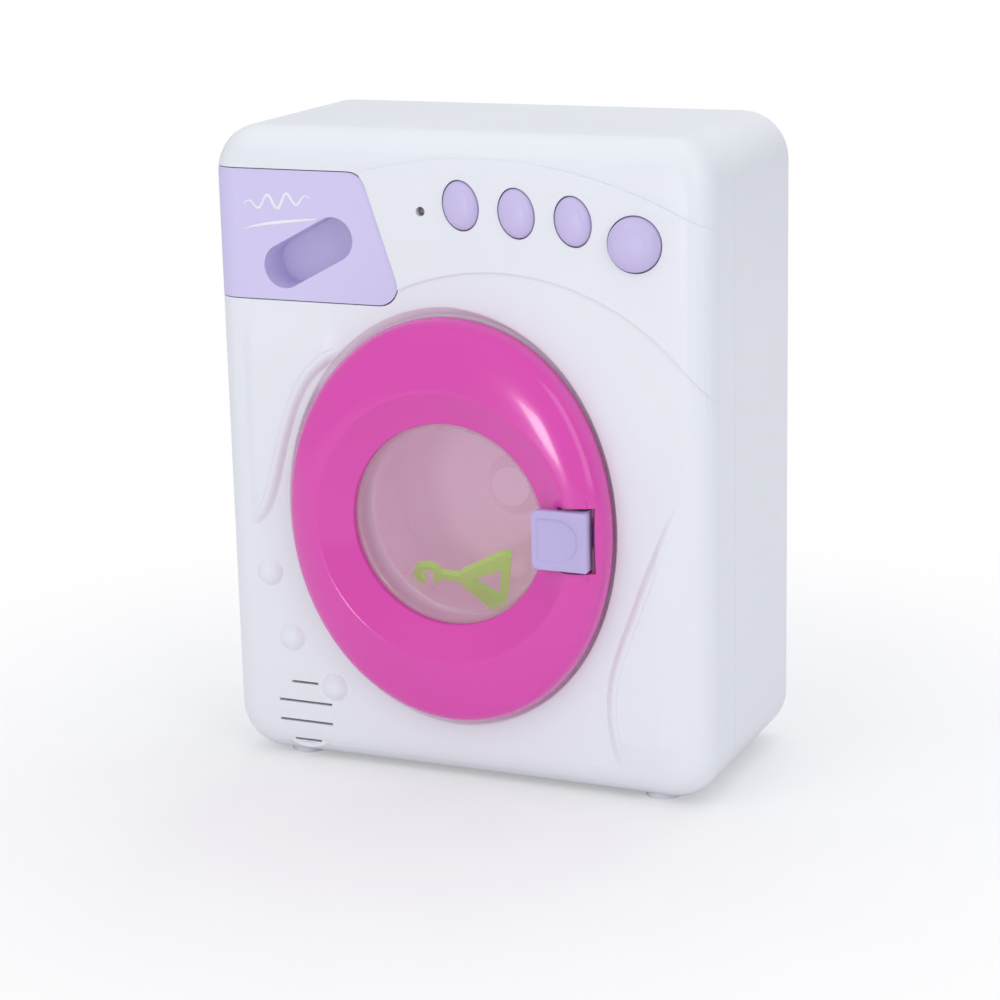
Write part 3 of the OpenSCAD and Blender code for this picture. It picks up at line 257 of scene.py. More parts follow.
# %% [markdown]
# ## Moulded plastic
# Almost everything here is injection-moulded: the colour is in the plastic, so it is even, with
# only a slow drift where the melt cooled. What makes it look real is the skin. Polished tooling
# leaves a very shallow orange peel, and handling leaves a few finer hairlines that only show in a
# reflection, so they change the gloss and not the height. The small gears have an edge radius too
# fine to model tooth by tooth, so there the Bevel node bends the light instead. The drum and the
# hanger carry a trace of glow, which is painted light: it stands for light bleeding through their
# thin walls and brightens them where they sit in shade behind the window.

# %% Plastic finishes
def shade(colour, amount):
    return tuple(min(1.0, c*amount) for c in colour[:3]) + (1.0,)

def moulded(name, colour, rough=0.3, edge=0.0, peel=0.002, drift=0.02, coat=0.0, grain=0.0,
            glow=0.0):
    finish = Finish(name)
    cloud = finish.noise(60, detail=1).between(0.3, 0.7)
    speck = finish.noise(1.3, detail=1, shift=3).between(0.64, 0.8)
    tone = finish.mix(cloud, shade(colour, 1 - drift), shade(colour, 1 + drift/2))
    tone = finish.mix(speck*0.06, tone, shade(colour, 0.8))
    hairline = finish.noise(2.4, detail=2, stretch=(1, 1, 14), shift=7).between(0.68, 0.74)
    crossing = finish.noise(2.8, detail=2, stretch=(13, 1, 1), shift=-5).between(0.7, 0.76)
    height = finish.noise(4.5, detail=1)
    if grain:
        height = height + finish.noise(grain, detail=2, rough=0.7, shift=4)*1.6
    worn = finish.noise(16, detail=2, shift=9)
    # Emission is painted light: a glow from a part that is no lamp.
    return finish.surface(
        Base_Color=tone, Roughness=(worn - 0.5)*0.08 + (hairline + crossing)*0.05 + rough,
        IOR=1.5, Coat_Weight=coat, Coat_Roughness=0.06,
        Emission_Color=colour, Emission_Strength=glow, Normal=finish.bump(height, peel, edge))

white_plastic = moulded("white_plastic", paint(229, 231, 235), rough=0.34, drift=0.008)
lilac_plastic = moulded("lilac_plastic", paint(199, 187, 226), rough=0.34)
latch_plastic = moulded("latch_plastic", paint(187, 175, 219), rough=0.36)
# The drawer is the buttons' lilac plastic, painted lighter because its face is lit less: painted
# light.
drawer_lilac_painted_lighter = moulded("drawer_lilac_painted_lighter", paint(208, 199, 234), rough=0.4)
magenta_plastic = moulded("magenta_plastic", paint(217, 68, 171), rough=0.17, coat=0.32)
# The drum and the hanger glow a little: painted light that brightens them in the drum's shade.
mauve_plastic = moulded("mauve_plastic", paint(240, 208, 228), rough=0.36, glow=0.1)
lime_plastic = moulded("lime_plastic", paint(186, 240, 84), rough=0.3, glow=0.1)
gear_plastic = moulded("gear_plastic", paint(238, 234, 220), rough=0.36, edge=0.12)
black_plastic = moulded("black_plastic", paint(38, 38, 42), rough=0.42, grain=0.5, peel=0.01)
dome_rubber = moulded("dome_rubber", paint(205, 203, 198), rough=0.62, peel=0.01)
print("plastics:", [m.name for m in bpy.data.materials])

# %% [markdown]
# ## Clear plastic
# The window is a thin dish of clear styrene. Light goes straight through a wall that is this thin,
# so letting it pass with Alpha looks the same as bending it, and leaves the drum lit. The wall
# turns more reflecting where it is seen edge on, which Layer Weight measures, and the moulded
# dish has faint flow rings round its middle. The small lamp above the door is smoky, as it is off.

# %% Clear finishes
DISH_RIM = (31.5, 34.0)

def clear_dish(name):
    finish = Finish(name)
    x, _, z = finish.parts()
    across = ((x - DOOR[0])**2.0 + (z - DOOR[1])**2.0)**0.5
    edge_on = finish.add("ShaderNodeLayerWeight", {}, {"Blend": 0.3}, out=1)
    # Towards the rim the colour darkens to a dusky pink: painted shade, with a painted reflection
    # of the magenta door ring in the edge-on wall.
    rim = across.between(*DISH_RIM)
    dust = finish.noise(1.1, detail=2).between(0.62, 0.72)
    ripple = (across*1.9).wave()*0.5 + finish.noise(9, detail=2)
    scratch = finish.noise(3, detail=2, stretch=(1, 1, 22), shift=4).between(0.68, 0.72)
    return finish.surface(
        Base_Color=finish.mix(rim, paint(236, 222, 234), paint(196, 130, 160)),
        Roughness=scratch*0.2 + dust*0.12 + 0.05, IOR=1.55, Coat_Weight=0.6, Coat_Roughness=0.03,
        Alpha=(edge_on*0.35 + rim*0.3 + dust*0.03 + scratch*0.03 + 0.05).least(1.0),
        Normal=finish.bump(ripple, 0.01))

def lamp_lens(name):
    finish = Finish(name)
    spot = finish.noise(0.8, detail=2)
    tone = finish.mix(spot, paint(118, 106, 108), paint(150, 138, 140))
    return finish.surface(Base_Color=tone, Roughness=spot*0.1 + 0.12, IOR=1.5,
                          Normal=finish.bump(spot, 0.01))

clear_plastic = clear_dish("clear_plastic")
lamp_plastic = lamp_lens("lamp_plastic")
print("clear finishes ready")

# %% [markdown]
# ## Metals
# Screws, pins and springs are drawn or turned steel: long fine lines along the wire, small changes
# of gloss from plating. The bushes are pressed from bronze powder, so they are spotted with pores.
# The motor's can is deep-drawn and zinc plated, which shows as crystals.

# %% Metal finishes
PORES_PER_METRE, CRYSTALS_PER_METRE = 2600.0, 420.0

def drawn_metal(name, colour, dark):
    finish = Finish(name)
    lines = finish.noise(0.7, detail=3, stretch=(1, 8, 1))
    stain = finish.noise(6, detail=3, shift=5).between(0.45, 0.75)
    return finish.surface(
        Base_Color=finish.mix(stain*0.6, colour, dark), Metallic=1.0,
        Roughness=lines*0.16 + stain*0.12 + 0.2, Normal=finish.bump(lines, 0.012, 0.12))

def sintered(name):
    finish = Finish(name)
    pores = finish.add("ShaderNodeTexVoronoi", {}, {
        "Vector": finish.place, "Scale": PORES_PER_METRE})
    pit = pores.between(0.1, 0.3)
    tone = finish.mix(pit, paint(96, 66, 30), paint(206, 160, 88))
    return finish.surface(Base_Color=tone, Metallic=1.0, Roughness=pit*-0.2 + 0.55,
                          Normal=finish.bump(pit, 0.03, 0.1))

def zinc_can(name):
    finish = Finish(name)
    flake = finish.add("ShaderNodeTexVoronoi", {}, {
        "Vector": finish.place, "Scale": CRYSTALS_PER_METRE}, out=1)
    grey = finish.mix(0.5, paint(186, 188, 192), flake, "SOFT_LIGHT")
    roll = finish.noise(1.2, detail=3, stretch=(1, 6, 1))
    return finish.surface(Base_Color=grey, Metallic=1.0, Roughness=roll*0.2 + 0.24,
                          Normal=finish.bump(roll, 0.01, 0.15))

steel = drawn_metal("steel", paint(206, 208, 212), paint(150, 152, 158))
brass = sintered("brass")
motor_can = zinc_can("motor_can")
print("metals ready")

# %% [markdown]
# ## Board and cells
# The circuit board is green lacquer over copper tracks, and the tracks stand a hair proud, so they
# show as paler bands. A cell has a printed plastic sleeve round a bare steel end. Its print stays a
# plain band: a dark body, a copper-coloured ring at one end and a thin line between the two.

# %% Board and cell finishes
CELLS_MIDDLE = 26.7
CELL_RING, CELL_LINE, CELL_BARE = (13.8, 14.2), 12.2, (26.4, 26.6)

def board_green_finish(name):
    finish = Finish(name)
    x, _, z = finish.parts()
    rows = (z*1.9).wave().between(0.35, 0.55)
    columns = (x*1.1 + finish.noise(14, detail=1)*6.0).wave().between(0.55, 0.75)
    track = rows.most(columns)
    weave = (x*9.0).wave()*(z*9.0).wave()
    return finish.surface(
        Base_Color=finish.mix(track, paint(20, 84, 52), paint(44, 132, 84)),
        Roughness=track*-0.1 + 0.38, Normal=finish.bump(track + weave*0.1, 0.04, 0.1))

def cell_sleeve_finish(name):
    finish = Finish(name)
    x, _, z = finish.parts()
    along = (z - CELLS_MIDDLE).sign()*x
    ring = along.between(*CELL_RING)
    line = abs(along - CELL_LINE).between(0.5, 0.7, 1.0, 0.0)
    bare = along.between(*CELL_BARE)
    wrap = finish.mix(ring, paint(42, 44, 54), paint(196, 132, 74))
    wrap = finish.mix(line, wrap, paint(226, 226, 230))
    tone = finish.mix(bare, wrap, paint(208, 208, 210))
    grain = finish.noise(0.6, detail=2, stretch=(6, 1, 1))
    return finish.surface(Base_Color=tone, Metallic=bare*0.7 + 0.2, Roughness=grain*0.1 + 0.26,
                          Normal=finish.bump(grain, 0.008, 0.15))

board_green = board_green_finish("board_green")
cell_sleeve = cell_sleeve_finish("cell_sleeve")
print("board and cells ready")

# %% [markdown]
# ## The floor's finish and the room
# The floor is pale. Near the toy it is mostly real, so it catches the shadow, and further out it
# turns into plain white for the camera alone. The room does the same: the camera sees white, while
# a dimmer and slightly blue sky lights the toy.

# %% Floor finish and room
FLOOR_REAL, FLOOR_WHITE = 100, 330
SKY, WHITE = (0.92, 0.94, 1.0, 1.0), (1, 1, 1, 1)

def studio_floor():
    finish = Finish("studio_floor")
    fine = finish.noise(40, detail=4)
    tone = finish.mix(fine, paint(238, 238, 240), paint(244, 244, 246))
    matt = finish.add("ShaderNodeBsdfDiffuse", {}, {"Color": tone})
    glow = finish.add("ShaderNodeEmission", {}, {"Color": WHITE, "Strength": 1.0})
    eye = finish.add("ShaderNodeLightPath", out="Is Camera Ray")
    x, y, _ = finish.parts()
    away = ((x**2.0 + y**2.0)**0.5).between(FLOOR_REAL, FLOOR_WHITE)
    return finish.show(finish.add("ShaderNodeMixShader", {}, {
        0: eye*(away*0.65 + 0.35), 1: matt, 2: glow}))

floor.data.materials.append(studio_floor())

def lit_room():
    world = bpy.data.worlds.new("room")
    world.use_nodes = True
    tree = world.node_tree
    tree.nodes.clear()
    ray = tree.nodes.new("ShaderNodeLightPath")
    choose = tree.nodes.new("ShaderNodeMixShader")
    out = tree.nodes.new("ShaderNodeOutputWorld")
    tree.links.new(ray.outputs["Is Camera Ray"], choose.inputs[0])
    for socket, colour, strength in ((1, SKY, 0.6), (2, WHITE, 1.0)):
        sky = tree.nodes.new("ShaderNodeBackground")
        sky.inputs["Color"].default_value = colour
        sky.inputs["Strength"].default_value = strength
        tree.links.new(sky.outputs[0], choose.inputs[socket])
    tree.links.new(choose.outputs[0], out.inputs["Surface"])
    bpy.context.scene.world = world

lit_room()
bpy.context.scene.view_settings.view_transform = "Standard"
print("finishes:", len(bpy.data.materials))

# %% [markdown]
# ## Every part of the frame gets its finish
# The frame already says which plastic or metal each node is made of, under a slot name. One table
# turns slot names into the finishes above, so no part is left with a bare colour.

# %% Dress the construction nodes
BY_SLOT = {
    "white_plastic": white_plastic, "lilac_plastic": lilac_plastic,
    "magenta_plastic": magenta_plastic, "mauve_plastic": mauve_plastic,
    "clear_plastic": clear_plastic, "lime_plastic": lime_plastic, "gear_plastic": gear_plastic,
    "brass": brass, "steel": steel, "motor_can": motor_can, "cell_sleeve": cell_sleeve,
    "black_plastic": black_plastic, "dome_rubber": dome_rubber, "lamp_plastic": lamp_plastic,
    "board_green": board_green,
}
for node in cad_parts.values():
    for place in node.material_slots:
        place.material = BY_SLOT[place.material.name.split(".")[0]]
print("dressed nodes:", len(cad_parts))

# %% [markdown]
# ## A maker's bench
# A few helpers do the work that every new piece shares. One turns a profile round an axis, as on a
# lathe. One lays a hoop of points for an oval shape, and others make blocks, rods and cuts.
# Then one takes the finished form off the bench: it joins doubled points, scales millimetres to
# metres, shades it smooth except at real edges, and says which body the piece rides on and which
# plain node it stands for. The last two settle how edges catch the light.

# %% Bench helpers
DOUBLED = 0.0005
HOOP_POINTS, ROD_SIDES = 128, 48

def turned(bm, profile, middle=DOOR, steps=96):
    """Spins a profile of (radius, y) points round an axis along Y. Returns the new points."""
    old = set(bm.verts)
    points = [bm.verts.new((middle[0] + r, y, middle[1])) for r, y in profile]
    edges = [bm.edges.new(pair) for pair in zip(points, points[1:])]
    bmesh.ops.spin(bm, geom=points + edges, cent=(middle[0], 0, middle[1]), axis=(0, 1, 0),
                   dvec=(0, 0, 0), angle=2*math.pi, steps=steps, use_merge=True)
    new = [v for v in bm.verts if v not in old]
    bmesh.ops.remove_doubles(bm, verts=new, dist=DOUBLED)
    return [v for v in bm.verts if v not in old]

def hoop(bm, half_w, half_h, depth):
    """A closed oval loop of edges round the door's middle, standing upright at one depth."""
    verts = bmesh.ops.create_circle(bm, radius=1.0, segments=HOOP_POINTS)["verts"]
    stand = Matrix.Translation((DOOR[0], depth, DOOR[1])) @ Matrix.Rotation(
        math.radians(90), 4, "X") @ Matrix.Diagonal((half_w, half_h, 1, 1))
    bmesh.ops.transform(bm, matrix=stand, verts=verts)
    mine = set(verts)
    return [e for v in verts for e in v.link_edges if e.other_vert(v) in mine and e.verts[0] is v]

def box_piece(bm, low, high):
    """A plain block between two corners."""
    low, high = Vector(low), Vector(high)
    size = Matrix.Diagonal((*(high - low), 1))
    bmesh.ops.create_cube(bm, size=1, matrix=Matrix.Translation((low + high)/2) @ size)

def upright_rod(bm, x, y, low, high, radius):
    """A round rod standing along Z."""
    place = Matrix.Translation((x, y, (low + high)/2))
    bmesh.ops.create_cone(bm, cap_ends=True, segments=ROD_SIDES, radius1=radius, radius2=radius,
                          depth=high - low, matrix=place)

def cut_across(bm, faces, point, normal):
    """Cuts the given faces along a plane and keeps both sides."""
    verts, edges = {v for f in faces for v in f.verts}, {e for f in faces for e in f.edges}
    return bmesh.ops.bisect_plane(bm, geom=list(verts | edges | set(faces)), dist=1e-5,
                                  plane_co=point, plane_no=normal)

def off_the_bench(bm, name, body, finish, stands_for=(), smooth=32, turn=True, weld=0.001):
    if weld:
        bmesh.ops.remove_doubles(bm, verts=bm.verts, dist=weld)
    if turn:
        bmesh.ops.recalc_face_normals(bm, faces=bm.faces)
    bmesh.ops.scale(bm, vec=(1/PER_METRE,)*3, verts=bm.verts)
    for face in bm.faces:
        face.smooth = True
    mesh = bpy.data.meshes.new(name)
    bm.to_mesh(mesh)
    bm.free()
    if "custom_normal" in mesh.attributes:
        mesh.attributes.remove(mesh.attributes["custom_normal"])
    mesh.set_sharp_from_angle(angle=math.radians(smooth))
    mesh.materials.append(finish)
    piece = link(bpy.data.objects.new(name, mesh))
    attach(piece, body)
    if stands_for:
        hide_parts(*stands_for)
    print("%s: %d faces" % (name, len(mesh.polygons)))
    return piece

def even_shading(piece):
    """Large flat faces keep their own direction where they meet a rolled edge."""
    evened = piece.modifiers.new("even", "WEIGHTED_NORMAL")
    evened.keep_sharp = True
    evened.weight = 80

def rounded(piece, width):
    """Rolls the piece's sharp edges over."""
    soft = piece.modifiers.new("round", "BEVEL")
    soft.width = width/PER_METRE
    soft.segments = 3
    soft.limit_method = "ANGLE"
    soft.angle_limit = math.radians(40)
    soft.harden_normals = True

# %% [markdown]
# ## The door ring
# The door is one hollow moulding. Seen from the front it starts at the window's rim, climbs a
# funnel to a round crest, falls away over a broad shoulder and turns down into a rolled edge. The
# crest is a circle but the edge is an oval, so the shape can't be turned on a lathe. It is laid up
# from hoops instead, each a little rounder or more oval than the last, and neighbouring hoops are
# bridged. The latch side is drawn in a little, and the back leans away from the hinge. The latch
# needs an opening, which is cut before the sheet is given its wall.

# %% Door ring
DOOR_WALL = 1.8
FUNNEL_HOOPS, SHOULDER_HOOPS = 6, 8
WINDOW_RIM = [(34.4, 5.0), (34.4, 6.4), (34.6, 6.85), (35.1, 7.1)]
CREST = [(45.5, 12.3), (46.0, 12.46), (46.5, 12.5), (CREST_R, CREST_OUT)]
ROLLED_EDGE = [(56.3, 65.7, 9.1), (57.3, 66.9, 8.2), (58.1, 67.85, 7.1), (58.7, 68.5, 5.8),
               (59.1, 68.95, 4.4), (*DOOR_HALF, 3.0), (59.2, 69.1, 1.4), (58.5, 68.4, 0.5)]

def door_hoops():
    """Half width, half height and distance out of the face for each hoop, from the rim outwards."""
    hoops = [(r, r, out) for r, out in WINDOW_RIM]
    rim_r, rim_out = WINDOW_RIM[-1]
    for i in range(1, FUNNEL_HOOPS + 1):
        t = i/FUNNEL_HOOPS
        r = rim_r + 9.9*t
        hoops.append((r, r, rim_out + 4.9*t - 0.25*math.sin(math.pi*t)))
    hoops += [(r, r, out) for r, out in CREST]
    for i in range(1, SHOULDER_HOOPS + 1):
        t = i/SHOULDER_HOOPS
        fall = 0.95*t + 1.75*t*t
        hoops.append((CREST_R + 7.9*t, CREST_R + 17.0*t, CREST_OUT - fall))
    return hoops + ROLLED_EDGE

def slimmer(x, z):
    """How much the door's latch side is pulled in from a true oval, most beside the latch."""
    dx, dz = (x - DOOR[0])/DOOR_HALF[0], (z - DOOR[1])/DOOR_HALF[1]
    return 2.3*(max(dx, 0.0)/math.hypot(dx, dz))**2.5

def raked(x):
    """How much deeper the back of the door lies at x than at its hinge."""
    return DOOR_RAKE*(x - HINGE_PIN[0])/RAKE_RUN

def latch_side(bm):
    """The faces round the latch's opening."""
    return [f for f in bm.faces if f.calc_center_median().x > 30
            and abs(f.calc_center_median().z - DOOR[1]) < 22]

def crest_first(face):
    """Largest for the face at the top of the crest, which surely looks forward."""
    middle = face.calc_center_median()
    return middle.z - 10*abs(middle.y - FACE + 12)

def make_door_ring():
    bm = bmesh.new()
    hoops = door_hoops()
    loops = [hoop(bm, w, h, FACE - out) for w, h, out in hoops]
    for loop, (w, _, out) in zip(loops, hoops):
        share = ((w - CREST_R)/(DOOR_HALF[0] - CREST_R))**2 if out > 3 else 1.0 + 0.1*(3 - out)
        for vert in {v for e in loop for v in e.verts}:
            vert.co.x -= share*slimmer(vert.co.x, vert.co.z) if w > CREST_R else 0.0
    for loop, share in zip(loops[-3:], (0.25, 0.65, 1.0)):
        for vert in {v for e in loop for v in e.verts}:
            vert.co.y += share*raked(vert.co.x)
    for first, second in zip(loops, loops[1:]):
        bmesh.ops.bridge_loops(bm, edges=first + second)
    left, right = LATCH[0] + 8.0, LATCH[1] + 1.3
    low, high = LATCH[2] - 1.0, LATCH[3] + 1.0
    for point, normal in (((left, 0, 0), (1, 0, 0)), ((right, 0, 0), (1, 0, 0)),
                          ((0, 0, low), (0, 0, 1)), ((0, 0, high), (0, 0, 1))):
        cut_across(bm, latch_side(bm), point, normal)
    hole = [f for f in latch_side(bm) if left < f.calc_center_median().x < right
            and low < f.calc_center_median().z < high]
    bmesh.ops.delete(bm, geom=hole, context="FACES")
    bmesh.ops.recalc_face_normals(bm, faces=bm.faces)
    if max(bm.faces, key=crest_first).normal.y > 0:
        bmesh.ops.reverse_faces(bm, faces=bm.faces)
    bmesh.ops.solidify(bm, geom=list(bm.faces), thickness=DOOR_WALL)
    off_the_bench(bm, "door_ring_moulding", "door", magenta_plastic,
                  ["door_ring"], turn=False, weld=0)

make_door_ring()

# %% [markdown]
# ## Lugs inside the door
# The hinge pin and the latch pin run through round lugs that hang from the inside of the door. On
# the real moulding they are one with the ring. Here they are rods and blocks with the same places,
# which is all that shows when the door stands open.

# %% Hinge and latch lugs
HINGE_LUG, LATCH_LUG = 1.9, 2.6
HINGE_LUG_UP, LATCH_LUG_UP = 15.3, 12.2
HINGE_LUG_FRONT, LATCH_LUG_FRONT = -43.0, -46.2

def lug(bm, pin, radius, front, low, high):
    """A round lug about a pin, with a block that reaches forward to what it hangs from."""
    upright_rod(bm, *pin, low, high, radius)
    box_piece(bm, (pin[0] - radius, front, low), (pin[0] + radius, pin[1], high))

def make_door_lugs():
    bm = bmesh.new()
    for side in (-1, 1):
        middle = DOOR[1] + side*HINGE_LUG_UP
        lug(bm, HINGE_PIN, HINGE_LUG, HINGE_LUG_FRONT, middle - 2, middle + 2)
        middle = DOOR[1] + side*LATCH_LUG_UP
        lug(bm, LATCH_PIN, LATCH_LUG, LATCH_LUG_FRONT, middle - 1.2, middle + 1.2)
    off_the_bench(bm, "door_lugs", "door", magenta_plastic, weld=0)

make_door_lugs()

# %% [markdown]
# ## The window
# The window is a clear dish with a flange behind the rim. It is a true lathe shape, so its profile
# is drawn once, closed all round, and spun. The corners of the dish are drawn with a few extra
# points, because a clear part shows every hard edge twice.

# %% Window
def arc(middle, radius, start, end, steps=5):
    """Points along an arc, from one angle to another in degrees."""
    return [(middle[0] + radius*math.cos(math.radians(start + (end - start)*i/steps)),
             middle[1] + radius*math.sin(math.radians(start + (end - start)*i/steps)))
            for i in range(steps + 1)]

def make_window():
    front = [(0.0, -31.35), (12.0, -31.4), (22.0, -31.5), (27.0, -31.6)]
    front += arc((27.8, -36.1), 4.5, 84, 4) + [(32.3, -38.9)] + arc((33.3, -38.9), 1.0, 180, 270)
    front += [(35.5, -40.0)] + arc((37.5, -39.5), 0.5, -90, 0)
    back = arc((37.5, -39.0), 0.5, 0, 90) + [(34.6, -38.5)] + arc((34.6, -37.7), 0.8, -90, -180, 3)
    back += [(33.8, -36.5)] + arc((27.8, -36.0), 6.0, 0, 88, 7) + [(20.0, -29.97), (0.0, -29.85)]
    bm = bmesh.new()
    turned(bm, front + back)
    off_the_bench(bm, "window_dish", "door", clear_plastic, ["window"])

make_window()

# %% [markdown]
# ## The latch
# The latch is a thumb plate on a pin. Its outer side has a shallow D-shaped dish for a fingertip.
# The plate's outline has two rounded corners and the dish is a second outline inside it. Both are
# looked at from one middle point, in the same directions, so that every loop has the same number
# of points. Neighbouring loops then join with clean four-sided faces, rounded edges included.

# %% Latch
PLATE_CORNER, PLATE_NICK = 2.5, 0.6
THUMB, DISH_R, DISH_NICK = (LATCH[0] + 9.0, DOOR[1]), 7.4, 0.9
ARM_HALF, BARB_TIP = 4.2, -27.6
LOOP_GAP = 0.004

def latch_plate_outline():
    left, right, low, high = LATCH
    points = arc((left + PLATE_CORNER, high - PLATE_CORNER), PLATE_CORNER, 90, 180, 6)
    points += [(x, low + high - z) for x, z in reversed(points)]
    return points + [(right - PLATE_NICK, low), (right, low + PLATE_NICK),
                     (right, high - PLATE_NICK), (right - PLATE_NICK, high)]

def dish_outline():
    left, low, high = LATCH[0] + 1.9, DOOR[1] - DISH_R, DOOR[1] + DISH_R
    return arc(THUMB, DISH_R, -90, 90, 20) + [
        (left + DISH_NICK, high), (left, high - DISH_NICK),
        (left, low + DISH_NICK), (left + DISH_NICK, low)]

def reach(outline, middle, angle):
    """How far an outline lies from its middle in one direction."""
    way = Vector((math.cos(angle), math.sin(angle)))
    best = 0.0
    for a, b in zip(outline, outline[1:] + outline[:1]):
        side, start = Vector(b) - Vector(a), Vector(a) - middle
        cross = way.x*side.y - way.y*side.x
        if abs(cross) > 1e-9:
            along = (start.x*side.y - start.y*side.x)/cross
            share = (start.x*way.y - start.y*way.x)/cross
            if along > 0 and -1e-6 <= share <= 1 + 1e-6:
                best = max(best, along)
    return best

def star_loop(bm, outline, middle, angles, inset, depth):
    """Points round an outline, one at each of the given angles."""
    points = []
    for angle in angles:
        r = reach(outline, middle, angle) - inset
        place = (middle.x + r*math.cos(angle), depth, middle.y + r*math.sin(angle))
        points.append(bm.verts.new(place))
    return points

def skin_over(bm, loops, ends=True):
    """Joins neighbouring loops with four-sided faces, and closes the first and the last one."""
    for first, second in zip(loops, loops[1:]):
        for i in range(len(first)):
            corners = [first[i - 1], first[i], second[i], second[i - 1]]
            bmesh.ops.contextual_create(bm, geom=corners)
    for end in (loops[0], loops[-1]) if ends else ():
        mine = set(end)
        bmesh.ops.edgeloop_fill(bm, edges=list({e for v in end for e in v.link_edges
                                                if e.other_vert(v) in mine}))

def make_latch():
    bm = bmesh.new()
    plate, dish, middle = latch_plate_outline(), dish_outline(), Vector(THUMB)
    corners = {round(math.atan2(z - middle.y, x - middle.x), 5) for x, z in plate + dish}
    angles = []
    for angle in sorted(corners | {math.radians(a) for a in range(-176, 180, 8)}):
        if not angles or angle - angles[-1] > LOOP_GAP:
            angles.append(angle)
    # Each step is an outline, how far inside it the loop runs, and the loop's depth.
    steps = [(plate, 0.4, -46.0), (plate, 0.1, -46.1), (plate, 0.0, -46.4), (plate, 0.0, -48.5),
             (plate, 0.07, -48.75), (plate, 0.25, -48.93), (plate, 0.5, -49.0), (dish, -0.2, -49.0),
             (dish, -0.04, -48.95), (dish, 0.1, -48.85), (dish, 0.6, -48.5), (dish, 0.8, -48.4),
             (dish, 1.1, -48.35)]
    loops = [star_loop(bm, shape, middle, angles, inset, depth) for shape, inset, depth in steps]
    skin_over(bm, loops)
    print("latch plate closed:", all(len(e.link_faces) == 2 for e in bm.edges))
    lug(bm, LATCH_PIN, LATCH_LUG, LATCH_LUG_FRONT, LATCH[2], LATCH[3])
    low, high = DOOR[1] - ARM_HALF, DOOR[1] + ARM_HALF
    box_piece(bm, (46.6, LATCH_PIN[1], low), (49.2, BARB_TIP, high))
    box_piece(bm, (LATCH_PIN[0], -29.4, low), (50.9, BARB_TIP, high))
    off_the_bench(bm, "latch_lever", "latch", latch_plastic, ["latch"],
                  weld=0, smooth=40)

make_latch()

# %% [markdown]
# ## Buttons
# Each button is a cap that stands through a hole in the face, with a flange behind so it can't fall
# out and a stem that presses its switch. The cap's crown is nearly flat and rolls over quickly at
# its rim, which a flattened ball wouldn't give. One profile is turned round instead, and then
# squeezed to an oval and tilted.

# %% Buttons
BUTTON_AT, BUTTON_STEP = (4.1, 198.8), (19.5, -1.8)
CROWN = [(0.0, 1.0), (0.3, 0.985), (0.52, 0.94), (0.68, 0.87), (0.8, 0.75), (0.9, 0.56),
         (0.965, 0.33), (1.0, 0.05)]
FLANGE_R, FLANGE_FRONT, FLANGE_BACK = 1.17, -32.7, -31.5
STEM = [(0, -31.7), (2.0, -31.7), (2.0, -26.7), (1.8, -26.5), (0, -26.5)]

def make_button(node, middle, half, out, tilt=0.0):
    bm = bmesh.new()
    profile = [(r, FACE - out*h) for r, h in CROWN] + [
        (1.0, FLANGE_FRONT), (FLANGE_R, FLANGE_FRONT), (FLANGE_R, FLANGE_BACK), (0, FLANGE_BACK)]
    cap = turned(bm, profile, (0, 0), 64)
    shape = Matrix.Translation((middle[0], 0, middle[1])) @ Matrix.Rotation(
        math.radians(-tilt), 4, "Y") @ Matrix.Diagonal((half[0], 1, half[1], 1))
    bmesh.ops.transform(bm, matrix=shape, verts=cap)
    turned(bm, STEM, middle, 32)
    off_the_bench(bm, node + "_cap", node, lilac_plastic, [node])

for i in range(3):
    place = (BUTTON_AT[0] + BUTTON_STEP[0]*i, BUTTON_AT[1] + BUTTON_STEP[1]*i)
    make_button("button_%d" % (i + 1), place, (6.1, 8.1), 3.4, 12)
make_button("start_button", (64.0, 188.8), (9.0, 9.0), 6.0)

# %% [markdown]
# ## The front half of the body
# The front of the body is one thin moulding. Two soft steps cross its face in long S-curves, one
# running down from the upper left of the door and one down its right side. They are too gentle for
# the construction model, which keeps the face flat. Here the face is cut into a fine net where a
# step runs, and every point of the net is then lifted by a small height worked out from its
# distance to the curve. Away from the curve the height fades to nothing, so the net joins the flat
# face without a seam. The outer edge that meets the back half is broken a little, so that a fine
# line runs round the body where the two halves touch.

# %% Front shell
BENCH_WELD, BENCH_SPECK = 0.002, 0.0005
STEP_W, STEP_H = 2.9, 1.7
CREASE_HALF, CREASE_DEEP = 0.5, 0.3
LEFT_PATCH, RIGHT_PATCH = (-79, -40, 80, 163), (50, 79, 12, 108)
COARSE, FINE = 1.6, 0.4
SEAM_Y, SEAM_BREAK = -11.0, 0.3

def copy_of(name):
    """A node's own form on the bench, in millimetres, with its triangles joined up."""
    bm = bmesh.new()
    bm.from_mesh(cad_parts[name].data)
    bmesh.ops.scale(bm, vec=(PER_METRE,)*3, verts=bm.verts)
    bmesh.ops.remove_doubles(bm, verts=bm.verts, dist=BENCH_WELD)
    bmesh.ops.dissolve_degenerate(bm, edges=bm.edges, dist=BENCH_SPECK)
    return bm

LEFT_CURVE = [(82.9, -82.0), (84.0, -78.9), (85.6, -75.6), (88.6, -72.1), (93.2, -69.4),
              (98.0, -67.6), (103.0, -66.1), (108.0, -64.7), (113.0, -63.3), (118.0, -61.7),
              (124.0, -59.7), (129.5, -57.4), (134.5, -54.6), (138.8, -51.3), (142.6, -46.6),
              (145.6, -41.4), (148.6, -34.0)]
RIGHT_CURVE = [(0.0, 59.0), (6.0, 58.0), (18.0, 54.5), (32.0, 52.5), (44.0, 53.5), (55.5, 56.9),
               (68.1, 61.6), (78.0, 65.2), (88.5, 69.5), (98.0, 73.5), (103.5, 76.5), (106.0, 79.2)]

